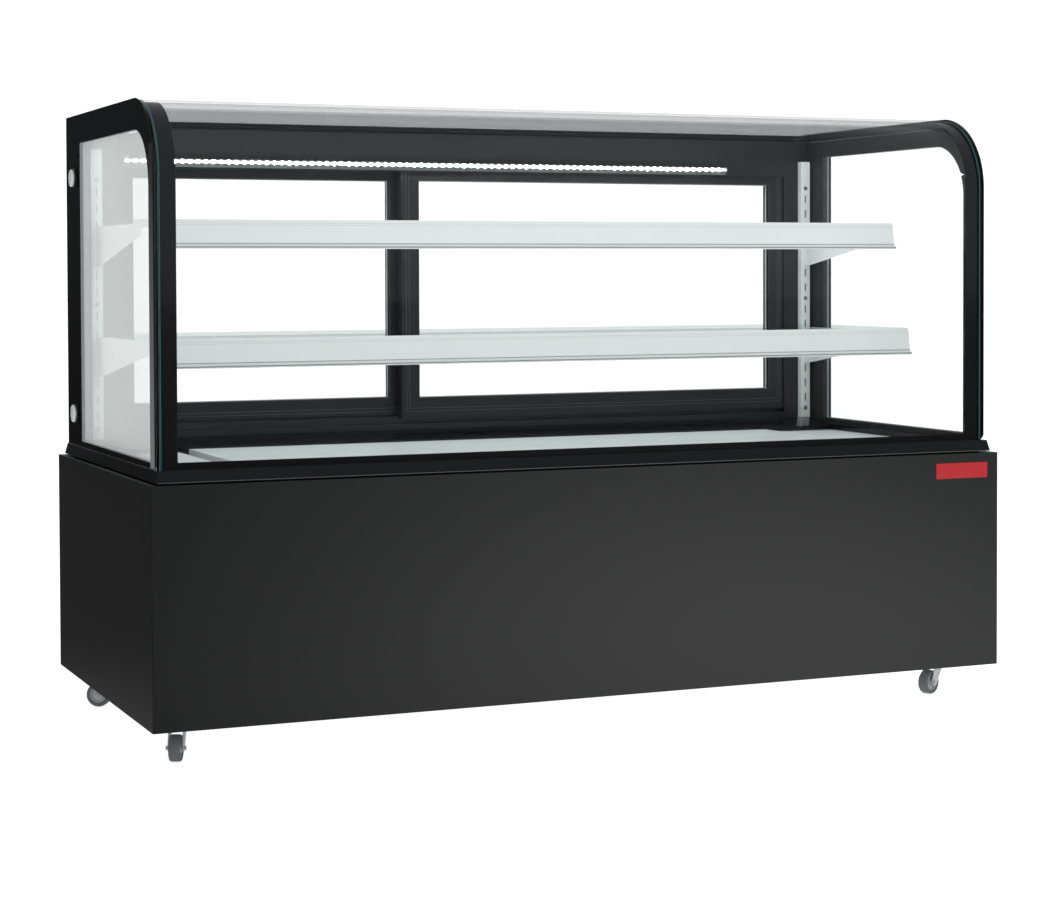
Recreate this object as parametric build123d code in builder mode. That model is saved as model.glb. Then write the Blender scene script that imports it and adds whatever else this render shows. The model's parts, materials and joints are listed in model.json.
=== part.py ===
from build123d import *
from math import asin, cos, degrees, radians, sin
import os

os.makedirs("parts", exist_ok=True)

# Curved glass refrigerated display case, in millimetres.
# X runs along the front from left to right, Y from the customer's side to the
# rear, Z up. The origin is on the floor under the middle of the case.

# Overall
case_width = 1800.0
case_depth = 800.0
case_height = 1223.0
base_bottom = 74.0
base_top = 518.0
gauge = 1.2
running_gap = 0.3
panel_seam = 0.6

# Base panels
corner_return = 62.0
rear_return = 30.0
control_strip_height = 78.0
control_recess = 6.0
grille_recess = 10.8
panel_edge_radius = 1.0

# Rear grilles
grille_margin = 10.0
grille_gap = 1.0
louvre_rows = 12
louvre_columns = 2
louvre_pitch_z = 24.0
louvre_pitch_x = 400.0
louvre_length = 340.0
louvre_height = 9.0
louvre_stand = 8.0

# Base frame and floor pan
tube = 30.0
frame_inset = 0.8
pan_thickness = 2.0
pan_lift = 2.0
tub_rail_height = 340.0
front_tub_rail_y = -215.0
rear_tub_rail_y = 135.0
hat_width = 70.0
hat_height = 20.0

# Deck surround, between the base and the glass
sill_height = 25.0
sill_foot_height = 3.0
sill_inset_top = 16.0
sill_flare = 5.0
sill_foot_inset = 28.0
sill_front_width = 39.0
sill_rear_width = 80.0
sill_side_width = 31.0
glass_channel_depth = 6.0

# End glazing units
glass_setback = 26.0
glass_rear_setback = 23.0
glass_side_setback = 16.7
arch_radius = 153.0
end_outer_pane = 6.0
end_spacer = 15.0
end_inner_pane = 5.0
window_front_border = 45.0
window_top_border = 59.0
window_bottom_border = 12.0
window_rear_border = 131.0
pane_corner_chamfer = 9.0

# Curved front and roof glass
curved_recess = 3.0
curved_outer_pane = 5.0
curved_cavity = 10.0
curved_inner_pane = 4.0
silicone_joint = 4.0
curved_spacer_width = 8.0
curved_rear_gap = 4.0

# Rear posts, header, tracks and sliding doors
post_width = 67.0
post_groove = 6.0
header_underside = 1150.0
header_skirt = 32.0
skirt_gauge = 3.7
header_lip = 18.0
track_wall = 2.0
top_track_depth = 18.0
bottom_track_height = 23.0
track_rib_height = 16.0
track_end_play = 3.0
door_thickness = 26.0
door_track_gap = 2.5
door_bottom = 576.0
door_top = 1141.0
stile_width = 42.0
top_rail_width = 42.0
bottom_rail_width = 47.0
left_door_width = 654.0
right_door_width = 958.0
door_pane = 4.0
door_cavity = 6.0
glazing_bite = 8.0
pull_length = 120.0
pull_width = 20.0
pull_depth = 10.0
pull_height = 860.0

# Shelf uprights, brackets, glass and fascias
upright_width = 24.0
upright_depth = 14.0
upright_wall = 1.5
upright_top = 1154.0
upright_gap = 5.4
lower_screw_z = 576.0
screw_pitch = 258.0
screw_rows = 3
slots_per_run = 7
slot_pitch = 34.5
slot_height = 18.0
slot_clearance = 0.2
bracket_gauge = 3.0
bracket_depth = 82.0
bracket_tip = 22.0
bracket_ledge = 22.0
hook_reach = 5.0
hook_drop = 6.0
shelf_thickness = 8.0
shelf_edge_inset = 21.0
upper_shelf_top = 1002.0
lower_shelf_top = 774.0
upper_shelf_front = -109.0
lower_shelf_front = -172.0
fascia_height = 57.0
fascia_lean = 10.0
fascia_gauge = 1.8
fascia_lip = 6.0
fascia_flange = 18.0
fascia_return = 14.0
fascia_end_inset = 31.0

# Header light and end caps
light_left = -784.0
light_joint = 352.0
light_right = 630.0
light_depth = 16.0
light_height = 17.0
light_lens = 3.0
light_top_drop = 12.0
cap_radius = 20.0
cap_boss = 9.0
cap_face = 2.6
cap_y = 288.0
cap_low_z = 610.0
cap_high_z = 1094.0

# Insulated tub, liner, deck and rear air duct
foam_wall = 44.0
well_half_width = 695.0
well_front = -320.0
well_rear = 262.0
well_floor = 380.0
ledge_height = 530.0
deck_half_width = 676.0
deck_front = -296.0
deck_rear = 188.0
deck_rise = 6.0
deck_count = 3
deck_joint = 1.5
deck_bar = 12.0
duct_front_height = 11.0
duct_rise = 13.0
duct_slot_length = 26.0
duct_slot_width = 6.0
duct_slot_pitch = 44.0
duct_slot_count = 30
pipe_hole_clearance = 2.0

# Refrigeration
pipe_radius = 5.0
pipe_run = 120.0
pipe_spread = 42.0
pipe_bend = 20.0
liquid_line_y = -100.0
liquid_line_z = 112.0
liquid_line_x = -60.0
evaporator_half_width = 440.0
evaporator_front = -40.0
evaporator_rear = 130.0
evaporator_height = 112.0
evaporator_fins = 24
fin_gauge = 1.2
coil_rows = 2
coil_columns = 4
coil_tube_radius = 6.0
coil_tube_sides = 6
fan_plate_y = -70.0
fan_plate_gauge = 2.0
evaporator_fan_x = 215.0
evaporator_fan_radius = 52.0
fan_tip_gap = 4.0
strap_width = 24.0
motor_radius = 26.0
motor_length = 42.0
motor_corner = 8.0
shaft_radius = 4.0
shaft_clearance = 0.05
shaft_length = 30.0
hub_length = 20.0
evaporator_hub_radius = 13.0
condenser_hub_radius = 26.0
fan_blades = 5
blade_gauge = 1.6
root_pitch = 40.0
tip_pitch = 18.0
condenser_x = -330.0
condenser_half_width = 170.0
condenser_rear = 352.0
condenser_thickness = 60.0
condenser_height = 216.0
condenser_fins = 20
condenser_rows = 4
condenser_columns = 2
condenser_fan_radius = 92.0
shroud_depth = 34.0
shroud_wall = 2.0
compressor_x = 330.0
compressor_y = 120.0
compressor_radius = 82.0
compressor_body_height = 120.0
compressor_dome = 34.0
compressor_foot = 12.0
compressor_foot_pitch = 115.0
foot_plate_gauge = 2.4
stub_height = 84.0
terminal_half_width = 27.0
terminal_reach = 20.0
terminal_top = 60.0
stub_length = 18.0
drier_radius = 13.0
drier_length = 90.0
tray_half_width = 150.0
tray_half_depth = 90.0
tray_height = 26.0
tray_wall = 1.5
tray_corner = 10.0
tray_x = 0.0
tray_y = -230.0

# Controls on the rear strip
controller_x = 560.0
controller_width = 77.0
controller_height = 35.0
controller_body_depth = 36.0
bezel_thickness = 3.0
display_width = 31.0
display_height = 19.0
display_depth = 1.0
display_offset = 15.0
button_row_offset = 19.0
button_count = 3
button_width = 8.0
button_height = 6.0
button_pitch = 11.0
button_stand = 1.2
button_travel = 0.8
switch_x = 670.0
switch_width = 30.0
switch_height = 22.0
switch_body_depth = 24.0
switch_rim = 1.5
rocker_tilt = 8.0
rocker_pin_radius = 1.5
rocker_pin_reach = 1.5
rocker_half_width = 11.0
rocker_height = 14.0
rocker_face = 2.4
rocker_dish = 1.2
rocker_heel = 3.0
gland_x = 770.0
gland_radius = 11.0
gland_bore = 5.0
gland_length = 26.0
gland_flange = 3.0
box_width = 150.0
box_height = 110.0
box_depth = 60.0
box_x = 640.0
box_corner = 2.4

# Casters
caster_inset_x = 76.5
caster_inset_y = 120.0
wheel_radius = 25.0
wheel_width = 22.0
caster_trail = 22.0
caster_plate = 62.0
caster_plate_gauge = 3.0
caster_bolt_pitch = 44.0
bolt_head_radius = 6.5
bolt_head_height = 4.5
race_radius = 20.0
race_height = 7.0
yoke_radius = 19.0
yoke_gauge = 3.0
fork_gauge = 2.5
fork_side_gap = 1.2
fork_top_width = 34.0
tread_chamfer = 2.8
kingpin_radius = 5.0
kingpin_head = 8.0
kingpin_head_height = 4.0
axle_radius = 4.0
axle_clearance = 0.05
front_left_heading = -114.0
front_right_heading = -156.0
rear_left_heading = 150.0
rear_right_heading = -100.0

# Places worked out from the values above
half_width = case_width / 2
half_depth = case_depth / 2
inner_x = half_width - gauge
frame_x = inner_x - frame_inset
frame_front = -half_depth + gauge + frame_inset
grille_y = half_depth - grille_recess
frame_rear = grille_y - gauge
pan_top = base_bottom + pan_lift + pan_thickness
pan_bottom = base_bottom + pan_lift
flange_bottom = base_top - gauge
sill_top = base_top + sill_height
glass_x = half_width - glass_side_setback
ring_outer_x = glass_x - end_outer_pane
ring_inner_x = ring_outer_x - end_spacer
cavity_x = ring_inner_x - end_inner_pane
glass_front = -half_depth + glass_setback
glass_rear = half_depth - glass_rear_setback
glass_top = case_height
sill_front = -half_depth + sill_inset_top - sill_flare
sill_inner_x = half_width - sill_inset_top - sill_side_width
sill_inner_front = -half_depth + sill_inset_top + sill_front_width
sill_inner_rear = half_depth - sill_inset_top - sill_rear_width
curved_inset = curved_recess + curved_outer_pane + curved_cavity + curved_inner_pane
ring_inset = curved_inset + running_gap
curved_x = ring_outer_x - silicone_joint
curved_bottom = sill_top - glass_channel_depth
curved_rear = glass_rear - curved_rear_gap
post_front = sill_inner_rear
post_inner_x = cavity_x - post_width
upright_x = cavity_x - upright_gap - upright_width / 2
door_opening = post_inner_x + post_groove - track_end_play
ledge_top = ledge_height
deck_top = ledge_top + deck_rise


def span(x, y, z, mode=Mode.ADD):
    """Add or cut a block between two limits along each axis."""
    with Locations(((x[0] + x[1]) / 2, (y[0] + y[1]) / 2, (z[0] + z[1]) / 2)):
        Box(x[1] - x[0], y[1] - y[0], z[1] - z[0], mode=mode)


def both(low):
    """Give the symmetric range from -low to low."""
    return (-low, low)


# Floor pan with a pressed hat channel over each pair of casters
caster_x = half_width - caster_inset_x
caster_y = half_depth - caster_inset_y
hat_y = (-caster_y - hat_width / 2, caster_y + hat_width / 2)
with BuildPart() as floor_pan:
    span(both(frame_x), (frame_front, frame_rear), (pan_bottom, pan_top))
    for side in (-caster_x, caster_x):
        hat_x = (side - hat_width / 2, side + hat_width / 2)
        span(hat_x, hat_y, (pan_top, pan_top + hat_height))
        hollow_x = (hat_x[0] + pan_thickness, hat_x[1] - pan_thickness)
        span(hollow_x, hat_y, (pan_top, pan_top + hat_height - pan_thickness), Mode.SUBTRACT)
floor_pan.part.label = "floor_pan"
export_step(floor_pan.part, "parts/floor_pan.step")

# Welded frame of square tube: corner posts, top rails and rails under the tub
frame_x_band = (frame_x - tube, frame_x)
tub_bottom = tub_rail_height
front_band = (frame_front, frame_front + tube)
rear_band = (frame_rear - tube, frame_rear)
rail_top = flange_bottom
with BuildPart() as base_frame:
    for band in (frame_x_band, (-frame_x_band[1], -frame_x_band[0])):
        for depth_band in (front_band, rear_band):
            span(band, depth_band, (pan_top, rail_top))
        span(band, (front_band[1], rear_band[0]), (rail_top - tube, rail_top))
        span(band, (front_band[1], rear_band[0]), (tub_bottom - tube, tub_bottom))
    inner_rail = both(frame_x - tube)
    for depth_band in (front_band, rear_band):
        span(inner_rail, depth_band, (rail_top - tube, rail_top))
    for rail_y in (front_tub_rail_y, rear_tub_rail_y):
        rail_band = (rail_y - tube / 2, rail_y + tube / 2)
        span(inner_rail, rail_band, (tub_bottom - tube, tub_bottom))
base_frame.part.label = "base_frame"
export_step(base_frame.part, "parts/base_frame.step")

# Front panel, one folded sheet that wraps round both front corners
return_y = -half_depth + corner_return
flange_inner_y = sill_inner_front - gauge
front_z = (base_bottom, base_top)
with BuildPart() as front_panel:
    span(both(half_width), (-half_depth, return_y), front_z)
    hollow_y = (-half_depth + gauge, return_y)
    span(both(inner_x), hollow_y, (base_bottom, flange_bottom), Mode.SUBTRACT)
    top_inner = both(sill_inner_x + gauge)
    span(top_inner, (flange_inner_y, return_y), (flange_bottom, base_top), Mode.SUBTRACT)
    upright_edges = front_panel.edges().filter_by(Axis.Z).group_by(Axis.Y)[0]
    fillet(upright_edges, panel_edge_radius)
front_panel.part.label = "front_panel"
export_step(front_panel.part, "parts/front_panel.step")


def side_panel(sign):
    """Fold a side panel: skin, top flange, bottom lip and rear return."""
    with BuildPart() as panel:
        skin = sorted((sign * inner_x, sign * half_width))
        depth = (return_y + panel_seam, half_depth)
        span(skin, depth, front_z)
        flange = sorted((sign * (sill_inner_x + gauge), sign * inner_x))
        span(flange, depth, (flange_bottom, base_top))
        rear = sorted((sign * (half_width - rear_return), sign * inner_x))
        span(rear, (half_depth - gauge, half_depth), (base_bottom, flange_bottom))
    return panel


left_side_panel = side_panel(-1)
left_side_panel.part.label = "left_side_panel"
export_step(left_side_panel.part, "parts/left_side_panel.step")

right_side_panel = side_panel(1)
right_side_panel.part.label = "right_side_panel"
export_step(right_side_panel.part, "parts/right_side_panel.step")

# Two identical louvred service grilles side by side at the rear
grille_top = base_top - control_strip_height - panel_seam
grille_outer_x = half_width - grille_margin
grille_mid_x = (grille_outer_x + grille_gap) / 2
grille_mid_z = (base_bottom + grille_top) / 2
with BuildPart() as rear_grilles:
    span((grille_gap, grille_outer_x), (grille_y - gauge, grille_y), (base_bottom, grille_top))
    with BuildSketch(Plane.XZ.offset(-grille_y)) as slots:
        with Locations((grille_mid_x, grille_mid_z)):
            with GridLocations(louvre_pitch_x, louvre_pitch_z, louvre_columns, louvre_rows):
                Rectangle(louvre_length, louvre_height)
    extrude(amount=gauge, mode=Mode.SUBTRACT)
    for column in (-louvre_pitch_x / 2, louvre_pitch_x / 2):
        start_x = grille_mid_x + column - louvre_length / 2 - gauge
        with BuildSketch(Plane.YZ.offset(start_x)) as hoods:
            with Locations((grille_y, grille_mid_z + louvre_height / 2)):
                with GridLocations(0, louvre_pitch_z, 1, louvre_rows):
                    Polygon(
                        (0, gauge), (louvre_stand, gauge - louvre_height),
                        (louvre_stand - gauge, gauge - louvre_height), (0, 0), align=None,
                    )
        extrude(amount=louvre_length + 2 * gauge)
    mirror(about=Plane.YZ)
rear_grilles.part.label = "rear_grilles"
export_step(rear_grilles.part, "parts/rear_grilles.step")

# Control strip across the top of the rear, with its cut-outs
strip_z = (base_top - control_strip_height, base_top)
control_z = rail_top - tube - controller_height / 2 - bezel_thickness
strip_half = half_width - rear_return - panel_seam
strip_y = half_depth - control_recess
strip_flange = sill_inner_x + gauge - panel_seam
with BuildPart() as control_panel:
    span(both(strip_half), (strip_y - gauge, strip_y), (strip_z[0], flange_bottom - panel_seam))
    neck_z = (flange_bottom - 2 * panel_seam, base_top)
    span(both(strip_flange), (strip_y - gauge, strip_y), neck_z)
    span(both(strip_flange), (sill_inner_rear + gauge, strip_y), (flange_bottom, base_top))
    lower_lip = (strip_z[0], strip_z[0] + gauge)
    span(both(strip_half), (frame_rear + running_gap, strip_y), lower_lip)
    cut_y = (strip_y - gauge, strip_y)
    cut_w = controller_width / 2 - bezel_thickness + running_gap
    cut_h = controller_height / 2 - bezel_thickness + running_gap
    span(
        (controller_x - cut_w, controller_x + cut_w), cut_y,
        (control_z - cut_h, control_z + cut_h), Mode.SUBTRACT,
    )
    cut_w = switch_width / 2 - switch_rim + running_gap
    cut_h = switch_height / 2 - switch_rim + running_gap
    span(
        (switch_x - cut_w, switch_x + cut_w), cut_y,
        (control_z - cut_h, control_z + cut_h), Mode.SUBTRACT,
    )
    with Locations(Location((gland_x, strip_y - gauge / 2, control_z), (90, 0, 0))):
        Cylinder(gland_radius - gland_flange + running_gap, gauge, mode=Mode.SUBTRACT)
control_panel.part.label = "control_panel"
export_step(control_panel.part, "parts/control_panel.step")

# Deck surround: a ring with a narrow foot, a flared face and a channel for the glass
sill_front_foot = -half_depth + sill_foot_inset
sill_foot_x = half_width - sill_foot_inset
foot_top = base_top + sill_foot_height
face_top_x = half_width - sill_inset_top
face_top_front = -half_depth + sill_inset_top
with BuildPart() as deck_sill:
    foot_y = (sill_front_foot, -sill_front_foot)
    span(both(sill_foot_x), foot_y, (base_top, foot_top))
    flare = sill_flare
    with BuildSketch(Plane.XY.offset(foot_top)):
        Rectangle(2 * (face_top_x + flare), 2 * (-face_top_front + flare))
    with BuildSketch(Plane.XY.offset(sill_top)):
        Rectangle(2 * face_top_x, -2 * face_top_front)
    loft()
    inner_y = (sill_inner_front, sill_inner_rear)
    span(both(sill_inner_x), inner_y, (base_top, sill_top), Mode.SUBTRACT)
    channel_front = glass_front + curved_recess - running_gap
    channel_rear = glass_front + curved_inset + running_gap
    channel_z = (curved_bottom, sill_top)
    span(both(curved_x + running_gap), (channel_front, channel_rear), channel_z, Mode.SUBTRACT)
deck_sill.part.label = "deck_sill"
export_step(deck_sill.part, "parts/deck_sill.step")

# Foamed tub: a wide lower block, a step that rises inside the surround, and the well
liner_gauge = gauge
tub_front = frame_front + tube + running_gap
tub_rear = frame_rear - tube - running_gap
tub_x = frame_x - tube - running_gap
liner_under = ledge_top - liner_gauge
well_x_outer = well_half_width + liner_gauge + running_gap
well_y_outer = (well_front - liner_gauge - running_gap, well_rear + liner_gauge + running_gap)
liner_floor = well_floor - liner_gauge
pipe_x = (evaporator_half_width + pipe_run, evaporator_half_width + pipe_run + pipe_spread)
coil_mid_y = (evaporator_front + evaporator_rear) / 2
coil_tube_gap = (evaporator_rear - evaporator_front) / coil_columns
pipe_y = (coil_mid_y - coil_tube_gap / 2, coil_mid_y + coil_tube_gap / 2)
pipe_hole = pipe_radius + pipe_hole_clearance
neck_x = sill_inner_x - running_gap
neck_y = (sill_inner_front + running_gap, sill_inner_rear - running_gap)
with BuildPart() as insulated_tub:
    span(both(tub_x), (tub_front, tub_rear), (tub_bottom, flange_bottom - running_gap))
    span(both(neck_x), neck_y, (flange_bottom - running_gap, liner_under))
    span(both(well_x_outer), well_y_outer, (liner_floor, liner_under), Mode.SUBTRACT)
    for x, y in zip(pipe_x, pipe_y):
        with Locations((x, y, tub_bottom)):
            Cylinder(
                pipe_hole, liner_floor - tub_bottom,
                align=(Align.CENTER, Align.CENTER, Align.MIN), mode=Mode.SUBTRACT,
            )
insulated_tub.part.label = "insulated_tub"
export_step(insulated_tub.part, "parts/insulated_tub.step")

# Metal liner: the pale ledge round the deck and the well under it
with BuildPart() as tub_liner:
    span(both(neck_x), neck_y, (liner_under, ledge_top))
    liner_x = well_half_width + liner_gauge
    liner_y = (well_front - liner_gauge, well_rear + liner_gauge)
    span(both(liner_x), liner_y, (liner_floor, liner_under))
    well_y = (well_front, well_rear)
    span(both(well_half_width), well_y, (well_floor, ledge_top), Mode.SUBTRACT)
    for x, y in zip(pipe_x, pipe_y):
        with Locations((x, y, liner_floor)):
            Cylinder(
                pipe_hole, liner_gauge,
                align=(Align.CENTER, Align.CENTER, Align.MIN), mode=Mode.SUBTRACT,
            )
tub_liner.part.label = "tub_liner"
export_step(tub_liner.part, "parts/tub_liner.step")

# Lift-out deck pans, folded trays that rest on cross tongues over the well
deck_width = 2 * deck_half_width / deck_count - deck_joint
with BuildPart() as deck_pans:
    for index in range(deck_count):
        centre = (index - (deck_count - 1) / 2) * (deck_width + deck_joint)
        pan_x = (centre - deck_width / 2, centre + deck_width / 2)
        span(pan_x, (deck_front, deck_rear), (ledge_top - deck_rise, deck_top))
        hollow_x = (pan_x[0] + gauge, pan_x[1] - gauge)
        hollow_y = (deck_front + gauge, deck_rear - gauge)
        span(hollow_x, hollow_y, (ledge_top - deck_rise, deck_top - gauge), Mode.SUBTRACT)
        for bar_x in (pan_x[0] + deck_bar, pan_x[1] - 2 * deck_bar):
            tongue_x = (bar_x, bar_x + deck_bar)
            tongue_z = (ledge_top, ledge_top + gauge)
            span(tongue_x, (well_front - deck_bar, deck_front + gauge), tongue_z)
            span(tongue_x, (deck_rear - gauge, well_rear + deck_bar), tongue_z)
deck_pans.part.label = "deck_pans"
export_step(deck_pans.part, "parts/deck_pans.step")

# Perforated air duct cover between the deck and the rear posts
duct_rear = sill_inner_rear - upright_depth - running_gap
duct_front = deck_rear + panel_seam
duct_x = sill_inner_x - running_gap
duct_mid = (duct_front + duct_rear) / 2
duct_low = ledge_top + gauge + running_gap
duct_high = ledge_top + duct_front_height
with BuildPart() as rear_air_duct:
    with BuildSketch(Plane.YZ.offset(-duct_x)):
        with BuildLine():
            Polyline(
                (duct_front, duct_low), (duct_front, duct_high),
                (duct_rear, duct_high + duct_rise), (duct_rear, duct_low),
                (duct_rear - gauge, duct_low), (duct_rear - gauge, duct_high + duct_rise - gauge),
                (duct_front + gauge, duct_high - gauge), (duct_front + gauge, duct_low), close=True,
            )
        make_face()
    extrude(amount=2 * duct_x)
    with BuildSketch(Plane.XY.offset(duct_low)):
        with Locations((0, duct_mid)):
            with GridLocations(duct_slot_pitch, 0, duct_slot_count, 1):
                Rectangle(duct_slot_length, duct_slot_width)
    extrude(amount=2 * duct_rise + duct_front_height, mode=Mode.SUBTRACT)
rear_air_duct.part.label = "rear_air_duct"
export_step(rear_air_duct.part, "parts/rear_air_duct.step")


def arch_face(inset, low, rear):
    """Draw the end outline, inset from the outer one, down to low and back to rear."""
    front = glass_front + inset
    top = glass_top - inset
    radius = arch_radius - inset
    with BuildLine() as outline:
        Line((front, low), (front, top - radius))
        CenterArc((front + radius, top - radius), radius, 180, -90)
        Polyline((front + radius, top), (rear, top), (rear, low), (front, low))
    make_face(outline.edges())


def arch_band(inset, depth, low, rear):
    """Draw a curved band of the given depth that follows the end outline."""
    front = glass_front + inset
    top = glass_top - inset
    radius = arch_radius - inset
    centre = (front + radius, top - radius)
    with BuildLine() as outline:
        Line((front, low), (front, top - radius))
        CenterArc(centre, radius, 180, -90)
        Polyline((front + radius, top), (rear, top), (rear, top - depth))
        Line((rear, top - depth), (front + radius, top - depth))
        CenterArc(centre, radius - depth, 90, 90)
        Polyline((front + depth, top - radius), (front + depth, low), (front, low))
    make_face(outline.edges())


# Flat end panes: outer pair, spacer rings with the window, inner pair
window_y = (glass_front + window_front_border, glass_rear - window_rear_border)
window_z = (sill_top + window_bottom_border, glass_top - window_top_border)
window_radius = arch_radius - window_front_border
with BuildPart() as end_outer_panes:
    with BuildSketch(Plane.YZ.offset(ring_outer_x)) as pane:
        arch_face(0, sill_top, glass_rear)
        chamfer(pane.vertices().sort_by(Axis.Y)[0:2].sort_by(Axis.Z)[0], pane_corner_chamfer)
    extrude(amount=end_outer_pane)
    mirror(about=Plane.YZ)
end_outer_panes.part.label = "end_outer_panes"
export_step(end_outer_panes.part, "parts/end_outer_panes.step")

with BuildPart() as end_spacers:
    with BuildSketch(Plane.YZ.offset(ring_inner_x)) as ring:
        arch_face(ring_inset, sill_top, glass_rear)
        with BuildLine() as window:
            Line((window_y[0], window_z[0]), (window_y[0], window_z[1] - window_radius))
            window_centre = (window_y[0] + window_radius, window_z[1] - window_radius)
            CenterArc(window_centre, window_radius, 180, -90)
            Polyline(
                (window_y[0] + window_radius, window_z[1]), (window_y[1], window_z[1]),
                (window_y[1], window_z[0]), (window_y[0], window_z[0]),
            )
        make_face(window.edges(), mode=Mode.SUBTRACT)
    extrude(amount=end_spacer)
    mirror(about=Plane.YZ)
end_spacers.part.label = "end_spacers"
export_step(end_spacers.part, "parts/end_spacers.step")

with BuildPart() as end_inner_panes:
    with BuildSketch(Plane.YZ.offset(cavity_x)):
        arch_face(ring_inset, sill_top, glass_rear)
    extrude(amount=end_inner_pane)
    mirror(about=Plane.YZ)
end_inner_panes.part.label = "end_inner_panes"
export_step(end_inner_panes.part, "parts/end_inner_panes.step")

# Curved double glazing: it rises from the surround and bends back over the roof
with BuildPart() as front_glass_outer:
    with BuildSketch(Plane.YZ.offset(-curved_x)):
        arch_band(curved_recess, curved_outer_pane, curved_bottom, curved_rear)
    extrude(amount=2 * curved_x)
front_glass_outer.part.label = "front_glass_outer"
export_step(front_glass_outer.part, "parts/front_glass_outer.step")

inner_pane_inset = curved_recess + curved_outer_pane + curved_cavity
with BuildPart() as front_glass_inner:
    with BuildSketch(Plane.YZ.offset(-curved_x)):
        arch_band(inner_pane_inset, curved_inner_pane, curved_bottom, curved_rear)
    extrude(amount=2 * curved_x)
front_glass_inner.part.label = "front_glass_inner"
export_step(front_glass_inner.part, "parts/front_glass_inner.step")

spacer_inset = curved_recess + curved_outer_pane
spacer_y = (glass_front + spacer_inset, glass_front + inner_pane_inset)
spacer_roof_z = (glass_top - inner_pane_inset, glass_top - spacer_inset)
with BuildPart() as front_glass_spacer:
    with BuildSketch(Plane.YZ.offset(-curved_x)):
        arch_band(spacer_inset, curved_cavity, curved_bottom, curved_rear)
    extrude(amount=curved_spacer_width)
    mirror(about=Plane.YZ)
    bar_z = (curved_bottom, curved_bottom + glass_channel_depth + curved_spacer_width)
    span(both(curved_x - curved_spacer_width), spacer_y, bar_z)
    bar_y = (curved_rear - curved_spacer_width, curved_rear)
    span(both(curved_x - curved_spacer_width), bar_y, spacer_roof_z)
front_glass_spacer.part.label = "front_glass_spacer"
export_step(front_glass_spacer.part, "parts/front_glass_spacer.step")

# Rear posts, each with a shallow groove that takes the edge of a closed door
post_y = (post_front, glass_rear)
header_z = (header_underside, glass_top - curved_inset - running_gap)
post_x = (post_inner_x, cavity_x - running_gap)
with BuildPart() as rear_posts:
    span(post_x, post_y, (sill_top, header_underside))
    groove_x = (post_inner_x, post_inner_x + post_groove)
    groove_inner = (post_front + track_wall, glass_rear - track_wall)
    span(groove_x, groove_inner, (sill_top, header_underside), Mode.SUBTRACT)
    mirror(about=Plane.YZ)
rear_posts.part.label = "rear_posts"
export_step(rear_posts.part, "parts/rear_posts.step")

# Header beam over the doors, with a front skirt and a lip behind the roof glass
skirt_y = (post_front - skirt_gauge, post_front)
skirt_z = (header_underside - header_skirt, header_z[1])
skirt_x = post_inner_x - running_gap
with BuildPart() as rear_header:
    span(both(cavity_x - running_gap), post_y, header_z)
    lip_y = (curved_rear + running_gap, glass_rear)
    span(both(cavity_x - running_gap), lip_y, (header_z[1], header_z[1] + header_lip))
    span(both(skirt_x), skirt_y, skirt_z)
rear_header.part.label = "rear_header"
export_step(rear_header.part, "parts/rear_header.step")

# Two-groove tracks: walls above, ribs below, one groove for each door
door_start = post_front + track_wall + door_track_gap
inner_door_y = (door_start, door_start + door_thickness)
door_pitch = door_thickness + 2 * door_track_gap + track_wall
outer_door_y = (inner_door_y[0] + door_pitch, inner_door_y[1] + door_pitch)
track_x = post_inner_x - running_gap
track_y = (post_front, outer_door_y[1] + door_track_gap + track_wall)
divider_y = (inner_door_y[1] + door_track_gap, outer_door_y[0] - door_track_gap)
track_base_top = sill_top + bottom_track_height
rib_top = track_base_top + track_rib_height
with BuildPart() as door_tracks:
    track_top_z = (header_underside - top_track_depth, header_underside)
    span(both(track_x), track_y, track_top_z)
    groove_z = (track_top_z[0], track_top_z[1] - track_wall)
    groove_a = (track_y[0] + track_wall, divider_y[0])
    groove_b = (divider_y[1], track_y[1] - track_wall)
    for groove in (groove_a, groove_b):
        span(both(track_x), groove, groove_z, Mode.SUBTRACT)
    span(both(track_x), track_y, (sill_top, track_base_top))
    for door_y in (inner_door_y, outer_door_y):
        rib_mid = sum(door_y) / 2
        rib_y = (rib_mid - track_wall / 2, rib_mid + track_wall / 2)
        span(both(track_x), rib_y, (track_base_top, rib_top))
door_tracks.part.label = "door_tracks"
export_step(door_tracks.part, "parts/door_tracks.step")


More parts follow.
